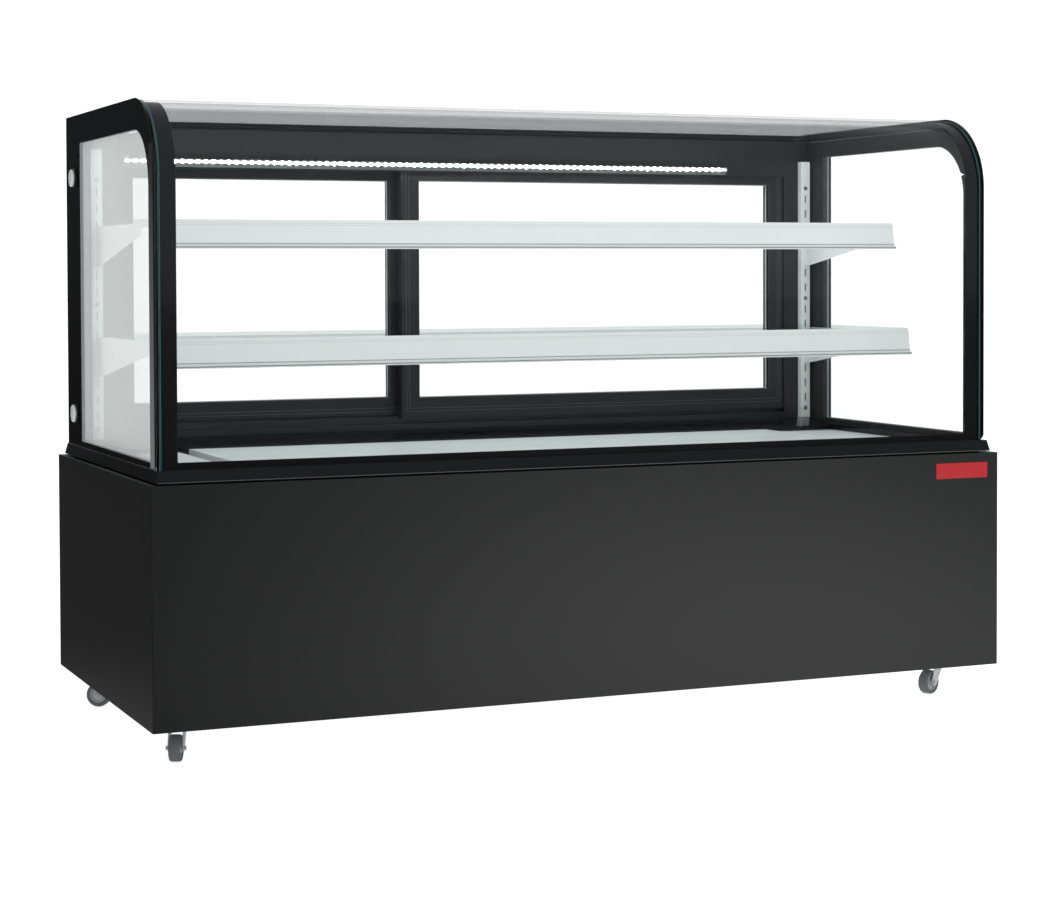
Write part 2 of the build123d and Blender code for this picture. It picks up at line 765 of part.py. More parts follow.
def door(left, width, depth, pull_x):
    """Build a door frame and its two panes; the bottom groove rides on a rib."""
    right = left + width
    middle = sum(depth) / 2
    glass_x_range = (left + stile_width, right - stile_width)
    glass_z_range = (door_bottom + bottom_rail_width, door_top - top_rail_width)
    bite = glazing_bite
    pocket_x = (glass_x_range[0] - bite, glass_x_range[1] + bite)
    pocket_z = (glass_z_range[0] - bite, glass_z_range[1] + bite)
    with BuildPart() as frame:
        span((left, right), depth, (door_bottom, door_top))
        vertical = frame.edges().filter_by(Axis.Z)
        fillet(vertical, gauge)
        span(glass_x_range, depth, glass_z_range, Mode.SUBTRACT)
        for offset_y in (-1, 1):
            pane_mid = middle + offset_y * (door_cavity + door_pane) / 2
            pane_y = (pane_mid - door_pane / 2 - running_gap, pane_mid + door_pane / 2 + running_gap)
            span(pocket_x, pane_y, pocket_z, Mode.SUBTRACT)
        rib_slot = (middle - track_wall / 2 - door_track_gap, middle + track_wall / 2 + door_track_gap)
        span((left, right), rib_slot, (door_bottom, rib_top + running_gap), Mode.SUBTRACT)
        with BuildSketch(Plane.XZ.offset(-depth[1])):
            with Locations((pull_x, pull_height)):
                SlotOverall(pull_length, pull_width, rotation=90)
        extrude(amount=pull_depth, mode=Mode.SUBTRACT)
    with BuildPart() as panes:
        gap = running_gap
        for offset_y in (-1, 1):
            pane_mid = middle + offset_y * (door_cavity + door_pane) / 2
            span(
                (pocket_x[0] + gap, pocket_x[1] - gap),
                (pane_mid - door_pane / 2, pane_mid + door_pane / 2),
                (pocket_z[0] + gap, pocket_z[1] - gap),
            )
    return frame, panes


left_pull_x = -door_opening + stile_width / 2
left_door_frame, left_door_glass = door(-door_opening, left_door_width, outer_door_y, left_pull_x)
left_door_frame.part.label = "left_door_frame"
export_step(left_door_frame.part, "parts/left_door_frame.step")
left_door_glass.part.label = "left_door_glass"
export_step(left_door_glass.part, "parts/left_door_glass.step")

right_door_left = door_opening - right_door_width
right_pull_x = door_opening - stile_width / 2
right_door_frame, right_door_glass = door(
    right_door_left, right_door_width, inner_door_y, right_pull_x
)
right_door_frame.part.label = "right_door_frame"
export_step(right_door_frame.part, "parts/right_door_frame.step")
right_door_glass.part.label = "right_door_glass"
export_step(right_door_glass.part, "parts/right_door_glass.step")

# Slotted uprights, screwed to the front of the rear posts
upright_y = (post_front - upright_depth, post_front)
upright_z = (ledge_top, upright_top)
with BuildPart() as shelf_uprights:
    span((upright_x - upright_width / 2, upright_x + upright_width / 2), upright_y, upright_z)
    inner_half = upright_width / 2 - upright_wall
    channel_y = (upright_y[0] + upright_wall, upright_y[1])
    span((upright_x - inner_half, upright_x + inner_half), channel_y, upright_z, Mode.SUBTRACT)
    slot_half = bracket_gauge / 2 + slot_clearance
    for run in range(screw_rows - 1):
        run_middle = lower_screw_z + (run + 0.5) * screw_pitch
        for index in range(slots_per_run):
            slot_z = run_middle + (index - (slots_per_run - 1) / 2) * slot_pitch
            span(
                (upright_x - slot_half, upright_x + slot_half),
                (upright_y[0], upright_y[0] + upright_wall),
                (slot_z - slot_height / 2, slot_z + slot_height / 2), Mode.SUBTRACT,
            )
    mirror(about=Plane.YZ)
shelf_uprights.part.label = "shelf_uprights"
export_step(shelf_uprights.part, "parts/shelf_uprights.step")


def slot_below(height):
    """Give the middle of the highest slot whose lower end is under a height."""
    middles = [
        lower_screw_z + (run + 0.5) * screw_pitch + (index - (slots_per_run - 1) / 2) * slot_pitch
        for run in range(screw_rows - 1)
        for index in range(slots_per_run)
    ]
    return max(z for z in middles if z + slot_height / 2 < height)


def bracket_outline(seat_z, front):
    """Draw a tapered shelf arm with two hooks that drop behind the upright's face."""
    back = upright_y[0] - running_gap
    tip_y = upright_y[0] + upright_wall + running_gap
    high_slot = slot_below(seat_z)
    with BuildLine() as arm:
        Polyline(
            (front, seat_z), (back, seat_z), (back, seat_z - bracket_depth),
            (back - bracket_tip, seat_z - bracket_depth), (front, seat_z - bracket_tip), close=True,
        )
    make_face(arm.edges())
    for slot_z in (high_slot, high_slot - slot_pitch):
        top = slot_z + slot_height / 2 - running_gap
        with BuildLine() as hook:
            Polyline(
                (back, top), (tip_y + hook_reach, top), (tip_y + hook_reach, top - 2 * hook_drop),
                (tip_y, top - 2 * hook_drop), (tip_y, top - hook_drop), (back, top - hook_drop),
                close=True,
            )
        make_face(hook.edges())


upper_seat = upper_shelf_top - shelf_thickness
lower_seat = lower_shelf_top - shelf_thickness
arm_back_off = fascia_flange + running_gap
ledge_inner = upright_x - bracket_ledge
with BuildPart() as shelf_brackets:
    for seat_z, front in ((upper_seat, upper_shelf_front), (lower_seat, lower_shelf_front)):
        arm_front = front + arm_back_off
        with BuildSketch(Plane.YZ.offset(upright_x - bracket_gauge / 2)):
            bracket_outline(seat_z, arm_front)
        extrude(amount=bracket_gauge)
        ledge_y = (arm_front, upright_y[0] - running_gap)
        span((ledge_inner, upright_x), ledge_y, (seat_z - bracket_gauge / 2, seat_z))
    mirror(about=Plane.YZ)
shelf_brackets.part.label = "shelf_brackets"
export_step(shelf_brackets.part, "parts/shelf_brackets.step")


def shelf_glass(seat_z, front):
    """Build one glass shelf, its rear edge chamfered."""
    half = cavity_x - shelf_edge_inset
    with BuildPart() as glass:
        depth = (front + fascia_gauge + running_gap, upright_y[0] - running_gap)
        span(both(half), depth, (seat_z, seat_z + shelf_thickness))
        rear_edges = glass.edges().filter_by(Axis.X).group_by(Axis.Y)[-1]
        chamfer(rear_edges, gauge)
    return glass


upper_shelf_glass = shelf_glass(upper_seat, upper_shelf_front)
upper_shelf_glass.part.label = "upper_shelf_glass"
export_step(upper_shelf_glass.part, "parts/upper_shelf_glass.step")

lower_shelf_glass = shelf_glass(lower_seat, lower_shelf_front)
lower_shelf_glass.part.label = "lower_shelf_glass"
export_step(lower_shelf_glass.part, "parts/lower_shelf_glass.step")

# Identical shelf fascias: a leaning face level with the glass, a flange under it, a lower lip
fascia_half = cavity_x - fascia_end_inset
with BuildPart() as shelf_fascias:
    for glass_z, front in ((upper_shelf_top, upper_shelf_front), (lower_shelf_top, lower_shelf_front)):
        low = glass_z - fascia_height
        lean_y = front - fascia_lean
        flange_z = glass_z - shelf_thickness - running_gap - fascia_gauge / 2
        with BuildSketch(Plane.YZ.offset(-fascia_half)):
            with BuildLine():
                Polyline(
                    (front + fascia_gauge, glass_z), (front, glass_z), (lean_y, low + fascia_lip),
                    (lean_y - fascia_lip, low + fascia_lip), (lean_y - fascia_lip, low),
                    (lean_y + fascia_return, low), (lean_y + fascia_return, low + fascia_gauge),
                    (lean_y + fascia_gauge, low + fascia_gauge), close=True,
                )
            make_face()
            with Locations((front + fascia_flange / 2, flange_z)):
                Rectangle(fascia_flange, fascia_gauge)
        extrude(amount=2 * fascia_half)
shelf_fascias.part.label = "shelf_fascias"
export_step(shelf_fascias.part, "parts/shelf_fascias.step")

# Header light: an aluminium rail with a sloping lens, in two lengths end to end
light_back = post_front - skirt_gauge
light_top = header_underside - light_top_drop
with BuildPart() as header_light:
    for start, stop in ((light_left, light_joint), (light_joint + gauge, light_right)):
        with BuildSketch(Plane.YZ.offset(start)):
            with BuildLine():
                Polyline(
                    (light_back, light_top), (light_back - light_depth + light_lens, light_top),
                    (light_back - light_depth, light_top - light_lens),
                    (light_back - light_depth, light_top - light_height / 2),
                    (light_back - light_lens, light_top - light_height),
                    (light_back, light_top - light_height), close=True,
                )
            make_face()
        extrude(amount=stop - start)
header_light.part.label = "header_light"
export_step(header_light.part, "parts/header_light.step")

# Round caps that pinch the end glass to the rear posts: a boss and a domed face
with BuildPart() as side_caps:
    for z in (cap_low_z, cap_high_z):
        with BuildSketch(Plane.YZ.offset(glass_x)):
            with Locations((cap_y, z)):
                Circle(cap_radius - cap_face / 2)
        extrude(amount=cap_boss)
        with BuildSketch(Plane.YZ.offset(glass_x + cap_boss)):
            with Locations((cap_y, z)):
                Circle(cap_radius)
        extrude(amount=cap_face)
    rims = side_caps.edges().filter_by(GeomType.CIRCLE).group_by(Axis.X)[-1]
    chamfer(rims, cap_face / 2)
    mirror(about=Plane.YZ)
side_caps.part.label = "side_caps"
export_step(side_caps.part, "parts/side_caps.step")

# Evaporator in the well: plate fins between end plates, with tubes and return bends
coil_base = well_floor + running_gap
coil_x = both(evaporator_half_width)
coil_y = (evaporator_front, evaporator_rear)
coil_z = (coil_base, coil_base + evaporator_height)
fin_pitch = (2 * evaporator_half_width - fin_gauge) / (evaporator_fins - 1)
coil_mid = ((coil_y[0] + coil_y[1]) / 2, (coil_z[0] + coil_z[1]) / 2)
tube_pitch_y = (coil_y[1] - coil_y[0]) / coil_columns
tube_pitch_z = (coil_z[1] - coil_z[0]) / coil_rows
with BuildPart() as evaporator_coil:
    for index in range(evaporator_fins):
        fin_x = coil_x[0] + index * fin_pitch
        span((fin_x, fin_x + fin_gauge), coil_y, coil_z)
    with BuildSketch(Plane.YZ.offset(coil_x[0] - coil_tube_radius)):
        with Locations(coil_mid):
            with GridLocations(tube_pitch_y, tube_pitch_z, coil_columns, coil_rows):
                RegularPolygon(coil_tube_radius, coil_tube_sides)
    extrude(amount=2 * (evaporator_half_width + coil_tube_radius))
evaporator_coil.part.label = "evaporator_coil"
export_step(evaporator_coil.part, "parts/evaporator_coil.step")

# Fan plate across the well: two round openings, each with a motor strap
fan_z = well_floor + (ledge_top - deck_rise - well_floor) / 2
fan_centres = [(x, fan_z) for x in (-evaporator_fan_x, evaporator_fan_x)]
plate_y = (fan_plate_y, fan_plate_y + fan_plate_gauge)
plate_z = (well_floor + running_gap, ledge_top - deck_rise - running_gap)
opening_radius = evaporator_fan_radius + fan_tip_gap
with BuildPart() as evaporator_fan_plate:
    span(both(well_half_width - running_gap), plate_y, plate_z)
    with BuildSketch(Plane.XZ.offset(-plate_y[1])):
        with Locations(*fan_centres):
            Circle(opening_radius)
    extrude(amount=fan_plate_gauge, mode=Mode.SUBTRACT)
    strap_y = (plate_y[0] - hub_length - fan_plate_gauge, plate_y[0] - hub_length)
    for x, z in fan_centres:
        strap_z = (z - opening_radius - strap_width / 2, z + opening_radius + strap_width / 2)
        span((x - strap_width / 2, x + strap_width / 2), strap_y, strap_z)
        for foot_z in (strap_z[0], strap_z[1] - fan_plate_gauge):
            foot = (foot_z, foot_z + fan_plate_gauge)
            span((x - strap_width / 2, x + strap_width / 2), (strap_y[0], plate_y[0]), foot)
    with BuildSketch(Plane.XZ.offset(-strap_y[1])):
        with Locations(*fan_centres):
            Circle(shaft_radius + gauge)
    extrude(amount=fan_plate_gauge, mode=Mode.SUBTRACT)
evaporator_fan_plate.part.label = "evaporator_fan_plate"
export_step(evaporator_fan_plate.part, "parts/evaporator_fan_plate.step")

# Condenser: a finned block that breathes through the left rear grille
condenser_z = (pan_top + running_gap, pan_top + running_gap + condenser_height)
condenser_y = (condenser_rear - condenser_thickness, condenser_rear)
condenser_x_range = (condenser_x - condenser_half_width, condenser_x + condenser_half_width)
condenser_pitch = (2 * condenser_half_width - fin_gauge) / (condenser_fins - 1)
condenser_mid = (sum(condenser_y) / 2, sum(condenser_z) / 2)
tube_step_y = condenser_thickness / condenser_columns
tube_step_z = condenser_height / condenser_rows
with BuildPart() as condenser_coil:
    for index in range(condenser_fins):
        fin_x = condenser_x_range[0] + index * condenser_pitch
        span((fin_x, fin_x + fin_gauge), condenser_y, condenser_z)
    with BuildSketch(Plane.YZ.offset(condenser_x_range[0] - coil_tube_radius)):
        with Locations(condenser_mid):
            with GridLocations(tube_step_y, tube_step_z, condenser_columns, condenser_rows):
                RegularPolygon(coil_tube_radius, coil_tube_sides)
    extrude(amount=2 * (condenser_half_width + coil_tube_radius))
condenser_coil.part.label = "condenser_coil"
export_step(condenser_coil.part, "parts/condenser_coil.step")

# Shroud on the inner face of the condenser, with the fan ring and a motor strap
shroud_y = (condenser_y[0] - running_gap - shroud_depth, condenser_y[0] - running_gap)
shroud_centre = (condenser_x, condenser_mid[1])
shroud_opening = condenser_fan_radius + fan_tip_gap
with BuildPart() as fan_shroud:
    span(condenser_x_range, shroud_y, condenser_z)
    hollow_x = (condenser_x_range[0] + shroud_wall, condenser_x_range[1] - shroud_wall)
    hollow_z = (condenser_z[0] + shroud_wall, condenser_z[1] - shroud_wall)
    span(hollow_x, (shroud_y[0] + shroud_wall, shroud_y[1]), hollow_z, Mode.SUBTRACT)
    with BuildSketch(Plane.XZ.offset(-shroud_y[0] - shroud_wall)):
        with Locations(shroud_centre):
            Circle(shroud_opening)
    extrude(amount=shroud_wall, mode=Mode.SUBTRACT)
    strap_y = (shroud_y[0] - hub_length - shroud_wall, shroud_y[0] - hub_length)
    strap_x = (condenser_x - strap_width / 2, condenser_x + strap_width / 2)
    span(strap_x, strap_y, condenser_z)
    for foot_z in (condenser_z[0], condenser_z[1] - shroud_wall):
        span(strap_x, (strap_y[0], shroud_y[0]), (foot_z, foot_z + shroud_wall))
    with BuildSketch(Plane.XZ.offset(-strap_y[1])):
        with Locations(shroud_centre):
            Circle(shaft_radius + gauge)
    extrude(amount=shroud_wall, mode=Mode.SUBTRACT)
fan_shroud.part.label = "fan_shroud"
export_step(fan_shroud.part, "parts/fan_shroud.step")

# Three identical shaded-pole motors, each seated on its strap
motor_faces = [(x, plate_y[0] - hub_length - fan_plate_gauge, z) for x, z in fan_centres]
motor_faces.append((condenser_x, shroud_y[0] - hub_length - shroud_wall, shroud_centre[1]))
with BuildPart() as fan_motors:
    for x, face_y, z in motor_faces:
        with BuildSketch(Plane.XZ.offset(-face_y)):
            with Locations((x, z)):
                RectangleRounded(2 * motor_radius, 2 * motor_radius, motor_corner)
        extrude(amount=motor_length)
        with BuildSketch(Plane.XZ.offset(-face_y - shaft_length)):
            with Locations((x, z)):
                Circle(shaft_radius)
        extrude(amount=shaft_length)
fan_motors.part.label = "fan_motors"
export_step(fan_motors.part, "parts/fan_motors.step")


def fan(x, z, hub_front, tip_radius, hub_radius):
    """Build a bladed fan whose hub runs on a motor shaft along Y."""
    hub_mid = hub_front + hub_length / 2
    root = hub_radius - blade_gauge
    with BuildPart() as blade:
        for radius, chord, pitch in (
            (root, hub_radius, root_pitch), (tip_radius, 2 * hub_radius, tip_pitch)
        ):
            with BuildSketch(Plane.XY.offset(radius)):
                Rectangle(chord, blade_gauge, rotation=pitch)
        loft(ruled=True)
    with BuildPart() as wheel:
        with BuildSketch(Plane.XZ):
            Circle(hub_radius)
        extrude(amount=hub_length / 2, both=True)
        for index in range(fan_blades):
            add(blade.part.rotate(Axis.Y, index * 360 / fan_blades))
        with BuildSketch(Plane.XZ):
            Circle(shaft_radius + shaft_clearance)
        extrude(amount=hub_length, both=True, mode=Mode.SUBTRACT)
    wheel.part.move(Location((x, hub_mid, z)))
    return wheel


hub_start = plate_y[0] - hub_length + fan_plate_gauge / 2
left_evaporator_fan = fan(
    -evaporator_fan_x, fan_z, hub_start, evaporator_fan_radius, evaporator_hub_radius
)
left_evaporator_fan.part.label = "left_evaporator_fan"
export_step(left_evaporator_fan.part, "parts/left_evaporator_fan.step")

right_evaporator_fan = fan(
    evaporator_fan_x, fan_z, hub_start, evaporator_fan_radius, evaporator_hub_radius
)
right_evaporator_fan.part.label = "right_evaporator_fan"
export_step(right_evaporator_fan.part, "parts/right_evaporator_fan.step")

condenser_hub = shroud_y[0] - hub_length + shroud_wall / 2
condenser_fan = fan(
    condenser_x, shroud_centre[1], condenser_hub, condenser_fan_radius, condenser_hub_radius
)
condenser_fan.part.label = "condenser_fan"
export_step(condenser_fan.part, "parts/condenser_fan.step")

# Hermetic compressor: a domed welded shell on a foot plate with four rubber feet
foot_pitch_x = 2 * compressor_radius
plate_half_x = foot_pitch_x / 2 + compressor_foot
plate_half_y = compressor_foot_pitch / 2 + compressor_foot
shell_base = pan_top + compressor_foot
stub_z = shell_base + stub_height
dome_radius = (compressor_radius**2 + compressor_dome**2) / (2 * compressor_dome)
dome_angle = degrees(asin(1 - compressor_dome / dome_radius))
with BuildPart() as compressor:
    with BuildSketch(Plane.XZ):
        with BuildLine():
            crown = (0, compressor_body_height + compressor_dome)
            Line((compressor_radius, 0), (compressor_radius, compressor_body_height))
            CenterArc((0, crown[1] - dome_radius), dome_radius, dome_angle, 90 - dome_angle)
            Polyline(crown, (0, 0), (compressor_radius, 0))
        make_face()
    revolve(axis=Axis.Z)
    span(both(plate_half_x), both(plate_half_y), (0, foot_plate_gauge))
    with BuildSketch(Plane.XY):
        with GridLocations(foot_pitch_x, compressor_foot_pitch, 2, 2):
            Circle(compressor_foot)
    extrude(amount=-compressor_foot)
    for side in (-1, 1):
        with BuildSketch(Plane.YZ):
            with Locations((0, stub_height)):
                Circle(pipe_radius + gauge)
        extrude(amount=side * (compressor_radius + stub_length))
    terminal_y = (-compressor_radius - terminal_reach, -compressor_radius / 2)
    span(both(terminal_half_width), terminal_y, (compressor_foot, terminal_top))
compressor.part.move(Location((compressor_x, compressor_y, shell_base)))
compressor.part.label = "compressor"
export_step(compressor.part, "parts/compressor.step")

# Copper lines: discharge to the condenser, suction and liquid lines to the evaporator
left_stub_x = compressor_x - compressor_radius - stub_length
right_stub_x = compressor_x + compressor_radius + stub_length
condenser_side_x = condenser_x_range[1] + coil_tube_radius
coil_entry_z = coil_z[0] + tube_pitch_z / 2
coil_end_x = coil_x[1] + coil_tube_radius
discharge_x = (left_stub_x + condenser_side_x) / 2
condenser_port_y = condenser_mid[0]
routes = (
    (
        (left_stub_x, compressor_y, stub_z), (discharge_x, compressor_y, stub_z),
        (discharge_x, condenser_port_y, stub_z), (condenser_side_x, condenser_port_y, stub_z),
    ),
    (
        (right_stub_x, compressor_y, stub_z), (pipe_x[0], compressor_y, stub_z),
        (pipe_x[0], pipe_y[0], stub_z), (pipe_x[0], pipe_y[0], coil_entry_z),
        (coil_end_x, pipe_y[0], coil_entry_z),
    ),
    (
        (condenser_side_x, condenser_port_y, liquid_line_z),
        (liquid_line_x, condenser_port_y, liquid_line_z),
        (liquid_line_x, liquid_line_y, liquid_line_z), (pipe_x[1], liquid_line_y, liquid_line_z),
        (pipe_x[1], pipe_y[1], liquid_line_z), (pipe_x[1], pipe_y[1], coil_entry_z),
        (coil_end_x, pipe_y[1], coil_entry_z),
    ),
)
with BuildPart() as refrigerant_lines:
    for points in routes:
        with BuildLine() as route:
            FilletPolyline(*points, radius=pipe_bend)
        with BuildSketch(Plane(origin=route.line @ 0, z_dir=route.line % 0)):
            Circle(pipe_radius)
        sweep(path=route.line)
    with BuildSketch(Plane.YZ.offset(compressor_x - drier_length / 2)):
        with Locations((liquid_line_y, liquid_line_z)):
            Circle(drier_radius)
    extrude(amount=drier_length)
refrigerant_lines.part.label = "refrigerant_lines"
export_step(refrigerant_lines.part, "parts/refrigerant_lines.step")

# Open tray on the floor pan that catches the melt water
tray_x_range = (tray_x - tray_half_width, tray_x + tray_half_width)
tray_y_range = (tray_y - tray_half_depth, tray_y + tray_half_depth)
tray_z = (pan_top, pan_top + tray_height)
with BuildPart() as condensate_tray:
    span(tray_x_range, tray_y_range, tray_z)
    fillet(condensate_tray.edges().filter_by(Axis.Z), tray_corner)
    with BuildSketch(Plane.XY.offset(pan_top + tray_wall)):
        with Locations((tray_x, tray_y)):
            RectangleRounded(
                2 * (tray_half_width - tray_wall), 2 * (tray_half_depth - tray_wall),
                tray_corner - tray_wall,
            )
    extrude(amount=tray_height, mode=Mode.SUBTRACT)
condensate_tray.part.label = "condensate_tray"
export_step(condensate_tray.part, "parts/condensate_tray.step")

# Terminal box on the floor pan behind the control strip
box_y = (frame_rear - running_gap - box_depth, frame_rear - running_gap)
with BuildPart() as electrical_box:
    span((box_x - box_width / 2, box_x + box_width / 2), box_y, (pan_top, pan_top + box_height))
    fillet(electrical_box.edges().filter_by(Axis.Z), box_corner)
electrical_box.part.label = "electrical_box"
export_step(electrical_box.part, "parts/electrical_box.step")

# Temperature controller: bezel on the strip, body behind it, pockets for the buttons
bezel_y = (strip_y, strip_y + bezel_thickness)
controller_span = (controller_x - controller_width / 2, controller_x + controller_width / 2)
button_y = (strip_y + running_gap, bezel_y[1] + button_stand)
button_row_x = controller_x + button_row_offset
button_places = [
    (button_row_x + (index - (button_count - 1) / 2) * button_pitch, control_z)
    for index in range(button_count)
]
with BuildPart() as controller_housing:
    controller_z = (control_z - controller_height / 2, control_z + controller_height / 2)
    span(controller_span, bezel_y, controller_z)
    fillet(controller_housing.edges().filter_by(Axis.Y), bezel_thickness)
    body_x = (controller_span[0] + bezel_thickness, controller_span[1] - bezel_thickness)
    body_z = (controller_z[0] + bezel_thickness, controller_z[1] - bezel_thickness)
    span(body_x, (strip_y - controller_body_depth, strip_y), body_z)
    with BuildSketch(Plane.XZ.offset(-bezel_y[1])):
        with Locations((controller_x - display_offset, control_z)):
            Rectangle(display_width, display_height)
    extrude(amount=display_depth, mode=Mode.SUBTRACT)
    with BuildSketch(Plane.XZ.offset(-bezel_y[1])):
        with Locations(*button_places):
            Rectangle(button_width + 2 * running_gap, button_height + 2 * running_gap)
    extrude(amount=bezel_y[1] - button_y[0] + button_travel + running_gap, mode=Mode.SUBTRACT)
controller_housing.part.label = "controller_housing"
export_step(controller_housing.part, "parts/controller_housing.step")

for index, (x, z) in enumerate(button_places):
    with BuildPart() as controller_button:
        button_x = (x - button_width / 2, x + button_width / 2)
        span(button_x, button_y, (z - button_height / 2, z + button_height / 2))
        outer_edges = controller_button.faces().sort_by(Axis.Y)[-1].edges()
        chamfer(outer_edges, running_gap)
    controller_button.part.label = f"controller_button_{index + 1}"
    export_step(controller_button.part, f"parts/controller_button_{index + 1}.step")

# Light switch: a housing snapped into the strip and a tilting rocker on two pins
pivot = (strip_y + running_gap, control_z)
switch_rear = strip_y - switch_body_depth
pocket_half_z = rocker_height / 2 + running_gap
pocket_half_x = rocker_half_width + running_gap
switch_z = (control_z - switch_height / 2, control_z + switch_height / 2)
with BuildPart() as light_switch_housing:
    switch_span = (switch_x - switch_width / 2, switch_x + switch_width / 2)
    span(switch_span, bezel_y, switch_z)
    fillet(light_switch_housing.edges().filter_by(Axis.Y), switch_rim)
    body_x = (switch_span[0] + switch_rim, switch_span[1] - switch_rim)
    span(body_x, (switch_rear, strip_y), (switch_z[0] + switch_rim, switch_z[1] - switch_rim))
    pocket_x = (switch_x - pocket_half_x, switch_x + pocket_half_x)
    pocket_z = (control_z - pocket_half_z, control_z + pocket_half_z)
    span(pocket_x, (strip_y - rocker_height / 2, bezel_y[1]), pocket_z, Mode.SUBTRACT)
    pin_span = rocker_half_width + rocker_pin_reach + running_gap
    with BuildSketch(Plane.YZ.offset(switch_x - pin_span)):
        with Locations(pivot):
            Circle(rocker_pin_radius + shaft_clearance)
    extrude(amount=2 * pin_span, mode=Mode.SUBTRACT)
light_switch_housing.part.label = "light_switch_housing"
export_step(light_switch_housing.part, "parts/light_switch_housing.step")

with BuildPart() as light_switch_rocker:
    half_height = rocker_height / 2 - 2 * running_gap
    with BuildSketch(Plane.YZ.offset(switch_x - rocker_half_width)):
        with Locations(Location(pivot, rocker_tilt)):
            Polygon(
                (rocker_face, half_height), (rocker_dish, 0), (rocker_face, -half_height),
                (-rocker_heel, -half_height / 2), (-rocker_heel, half_height / 2), align=None,
            )
    extrude(amount=2 * rocker_half_width)
    with BuildSketch(Plane.YZ.offset(switch_x - rocker_half_width - rocker_pin_reach)):
        with Locations(pivot):
            Circle(rocker_pin_radius)
    extrude(amount=2 * (rocker_half_width + rocker_pin_reach))
light_switch_rocker.part.label = "light_switch_rocker"
export_step(light_switch_rocker.part, "parts/light_switch_rocker.step")

# Cable gland: a flange outside the strip, a barrel through it, and a clear bore
with BuildPart() as power_gland:
    with BuildSketch(Plane.XZ.offset(-strip_y)):
        with Locations((gland_x, control_z)):
            RegularPolygon(gland_radius, 6)
    extrude(amount=-gland_flange)
    with BuildSketch(Plane.XZ.offset(-strip_y)):
        with Locations((gland_x, control_z)):
            Circle(gland_radius - gland_flange)
    extrude(amount=gland_length - gland_flange)
    with BuildSketch(Plane.XZ.offset(-strip_y - gland_flange)):
        with Locations((gland_x, control_z)):
            Circle(gland_bore)
    extrude(amount=gland_length, mode=Mode.SUBTRACT)
power_gland.part.label = "power_gland"
export_step(power_gland.part, "parts/power_gland.step")

# Casters: plate, ball race and kingpin on the case; fork and wheel turn under it
plate_z = (pan_bottom - caster_plate_gauge, pan_bottom)
race_z = (plate_z[0] - race_height, plate_z[0])
yoke_z = (race_z[0] - running_gap - yoke_gauge, race_z[0] - running_gap)
head_z = (yoke_z[0] - running_gap - kingpin_head_height, yoke_z[0] - running_gap)
caster_places = [
    ("front_left", -caster_x, -caster_y, front_left_heading),
    ("front_right", caster_x, -caster_y, front_right_heading),
    ("rear_left", -caster_x, caster_y, rear_left_heading),
    ("rear_right", caster_x, caster_y, rear_right_heading),
]
with BuildPart() as caster_plates:
    for place in caster_places:
        x, y = place[1], place[2]
        with Locations((x, y, sum(plate_z) / 2)):
            Box(caster_plate, caster_plate, caster_plate_gauge)
        with BuildSketch(Plane.XY.offset(race_z[0])):
            with Locations((x, y)):
                Circle(race_radius)
        extrude(amount=race_height)
        with BuildSketch(Plane.XY.offset(head_z[0])):
            with Locations((x, y)):
                Circle(kingpin_radius)
        extrude(amount=race_z[0] - head_z[0])
        with BuildSketch(Plane.XY.offset(head_z[0])):
            with Locations((x, y)):
                Circle(kingpin_head)
        extrude(amount=kingpin_head_height)
        with BuildSketch(Plane.XY.offset(plate_z[0])):
            with Locations((x, y)):
                with GridLocations(caster_bolt_pitch, caster_bolt_pitch, 2, 2):
                    RegularPolygon(bolt_head_radius, 6)
        extrude(amount=-bolt_head_height)
caster_plates.part.label = "caster_plates"
export_step(caster_plates.part, "parts/caster_plates.step")

leg_inner = wheel_width / 2 + fork_side_gap
for name, x, y, heading in caster_places:
    trail = Vector(cos(radians(heading)), sin(radians(heading)), 0)
    across = Vector(trail.Y, -trail.X, 0)
    pivot_side = Plane(origin=(x, y, 0), x_dir=trail, z_dir=across)
    with BuildPart() as caster_fork:
        with BuildSketch(Plane(origin=(x, y, yoke_z[0]))):
            Circle(yoke_radius)
        extrude(amount=yoke_gauge)
        for offset_from_middle in (leg_inner, -leg_inner - fork_gauge):
            with BuildSketch(pivot_side.offset(offset_from_middle)):
                with BuildLine():
                    Polyline(
                        (-fork_top_width / 2, yoke_z[1]), (fork_top_width / 2, yoke_z[1]),
                        (caster_trail + axle_radius * 2, wheel_radius),
                        (caster_trail, wheel_radius - axle_radius * 2),
                        (caster_trail - axle_radius * 2, wheel_radius - axle_radius), close=True,
                    )
                make_face()
            extrude(amount=fork_gauge)
        with BuildSketch(Plane(origin=(x, y, yoke_z[0]))):
            Circle(kingpin_radius + shaft_clearance)
        extrude(amount=yoke_gauge, mode=Mode.SUBTRACT)
        axle_half = leg_inner + fork_gauge + axle_radius
        with BuildSketch(pivot_side.offset(-axle_half)):
            with Locations((caster_trail, wheel_radius)):
                Circle(axle_radius)
        extrude(amount=2 * axle_half)
    caster_fork.part.label = f"{name}_fork"
    export_step(caster_fork.part, f"parts/{name}_fork.step")

    with BuildPart() as caster_wheel:
        with BuildSketch(pivot_side.offset(-wheel_width / 2)):
            with Locations((caster_trail, wheel_radius)):
                Circle(wheel_radius)
        extrude(amount=wheel_width)
        rims = caster_wheel.edges().filter_by(GeomType.CIRCLE)
        chamfer(rims, tread_chamfer)
        with BuildSketch(pivot_side.offset(-wheel_width / 2)):
            with Locations((caster_trail, wheel_radius)):
                Circle(axle_radius + axle_clearance)
        extrude(amount=wheel_width, mode=Mode.SUBTRACT)
    caster_wheel.part.label = f"{name}_wheel"
    export_step(caster_wheel.part, f"parts/{name}_wheel.step")
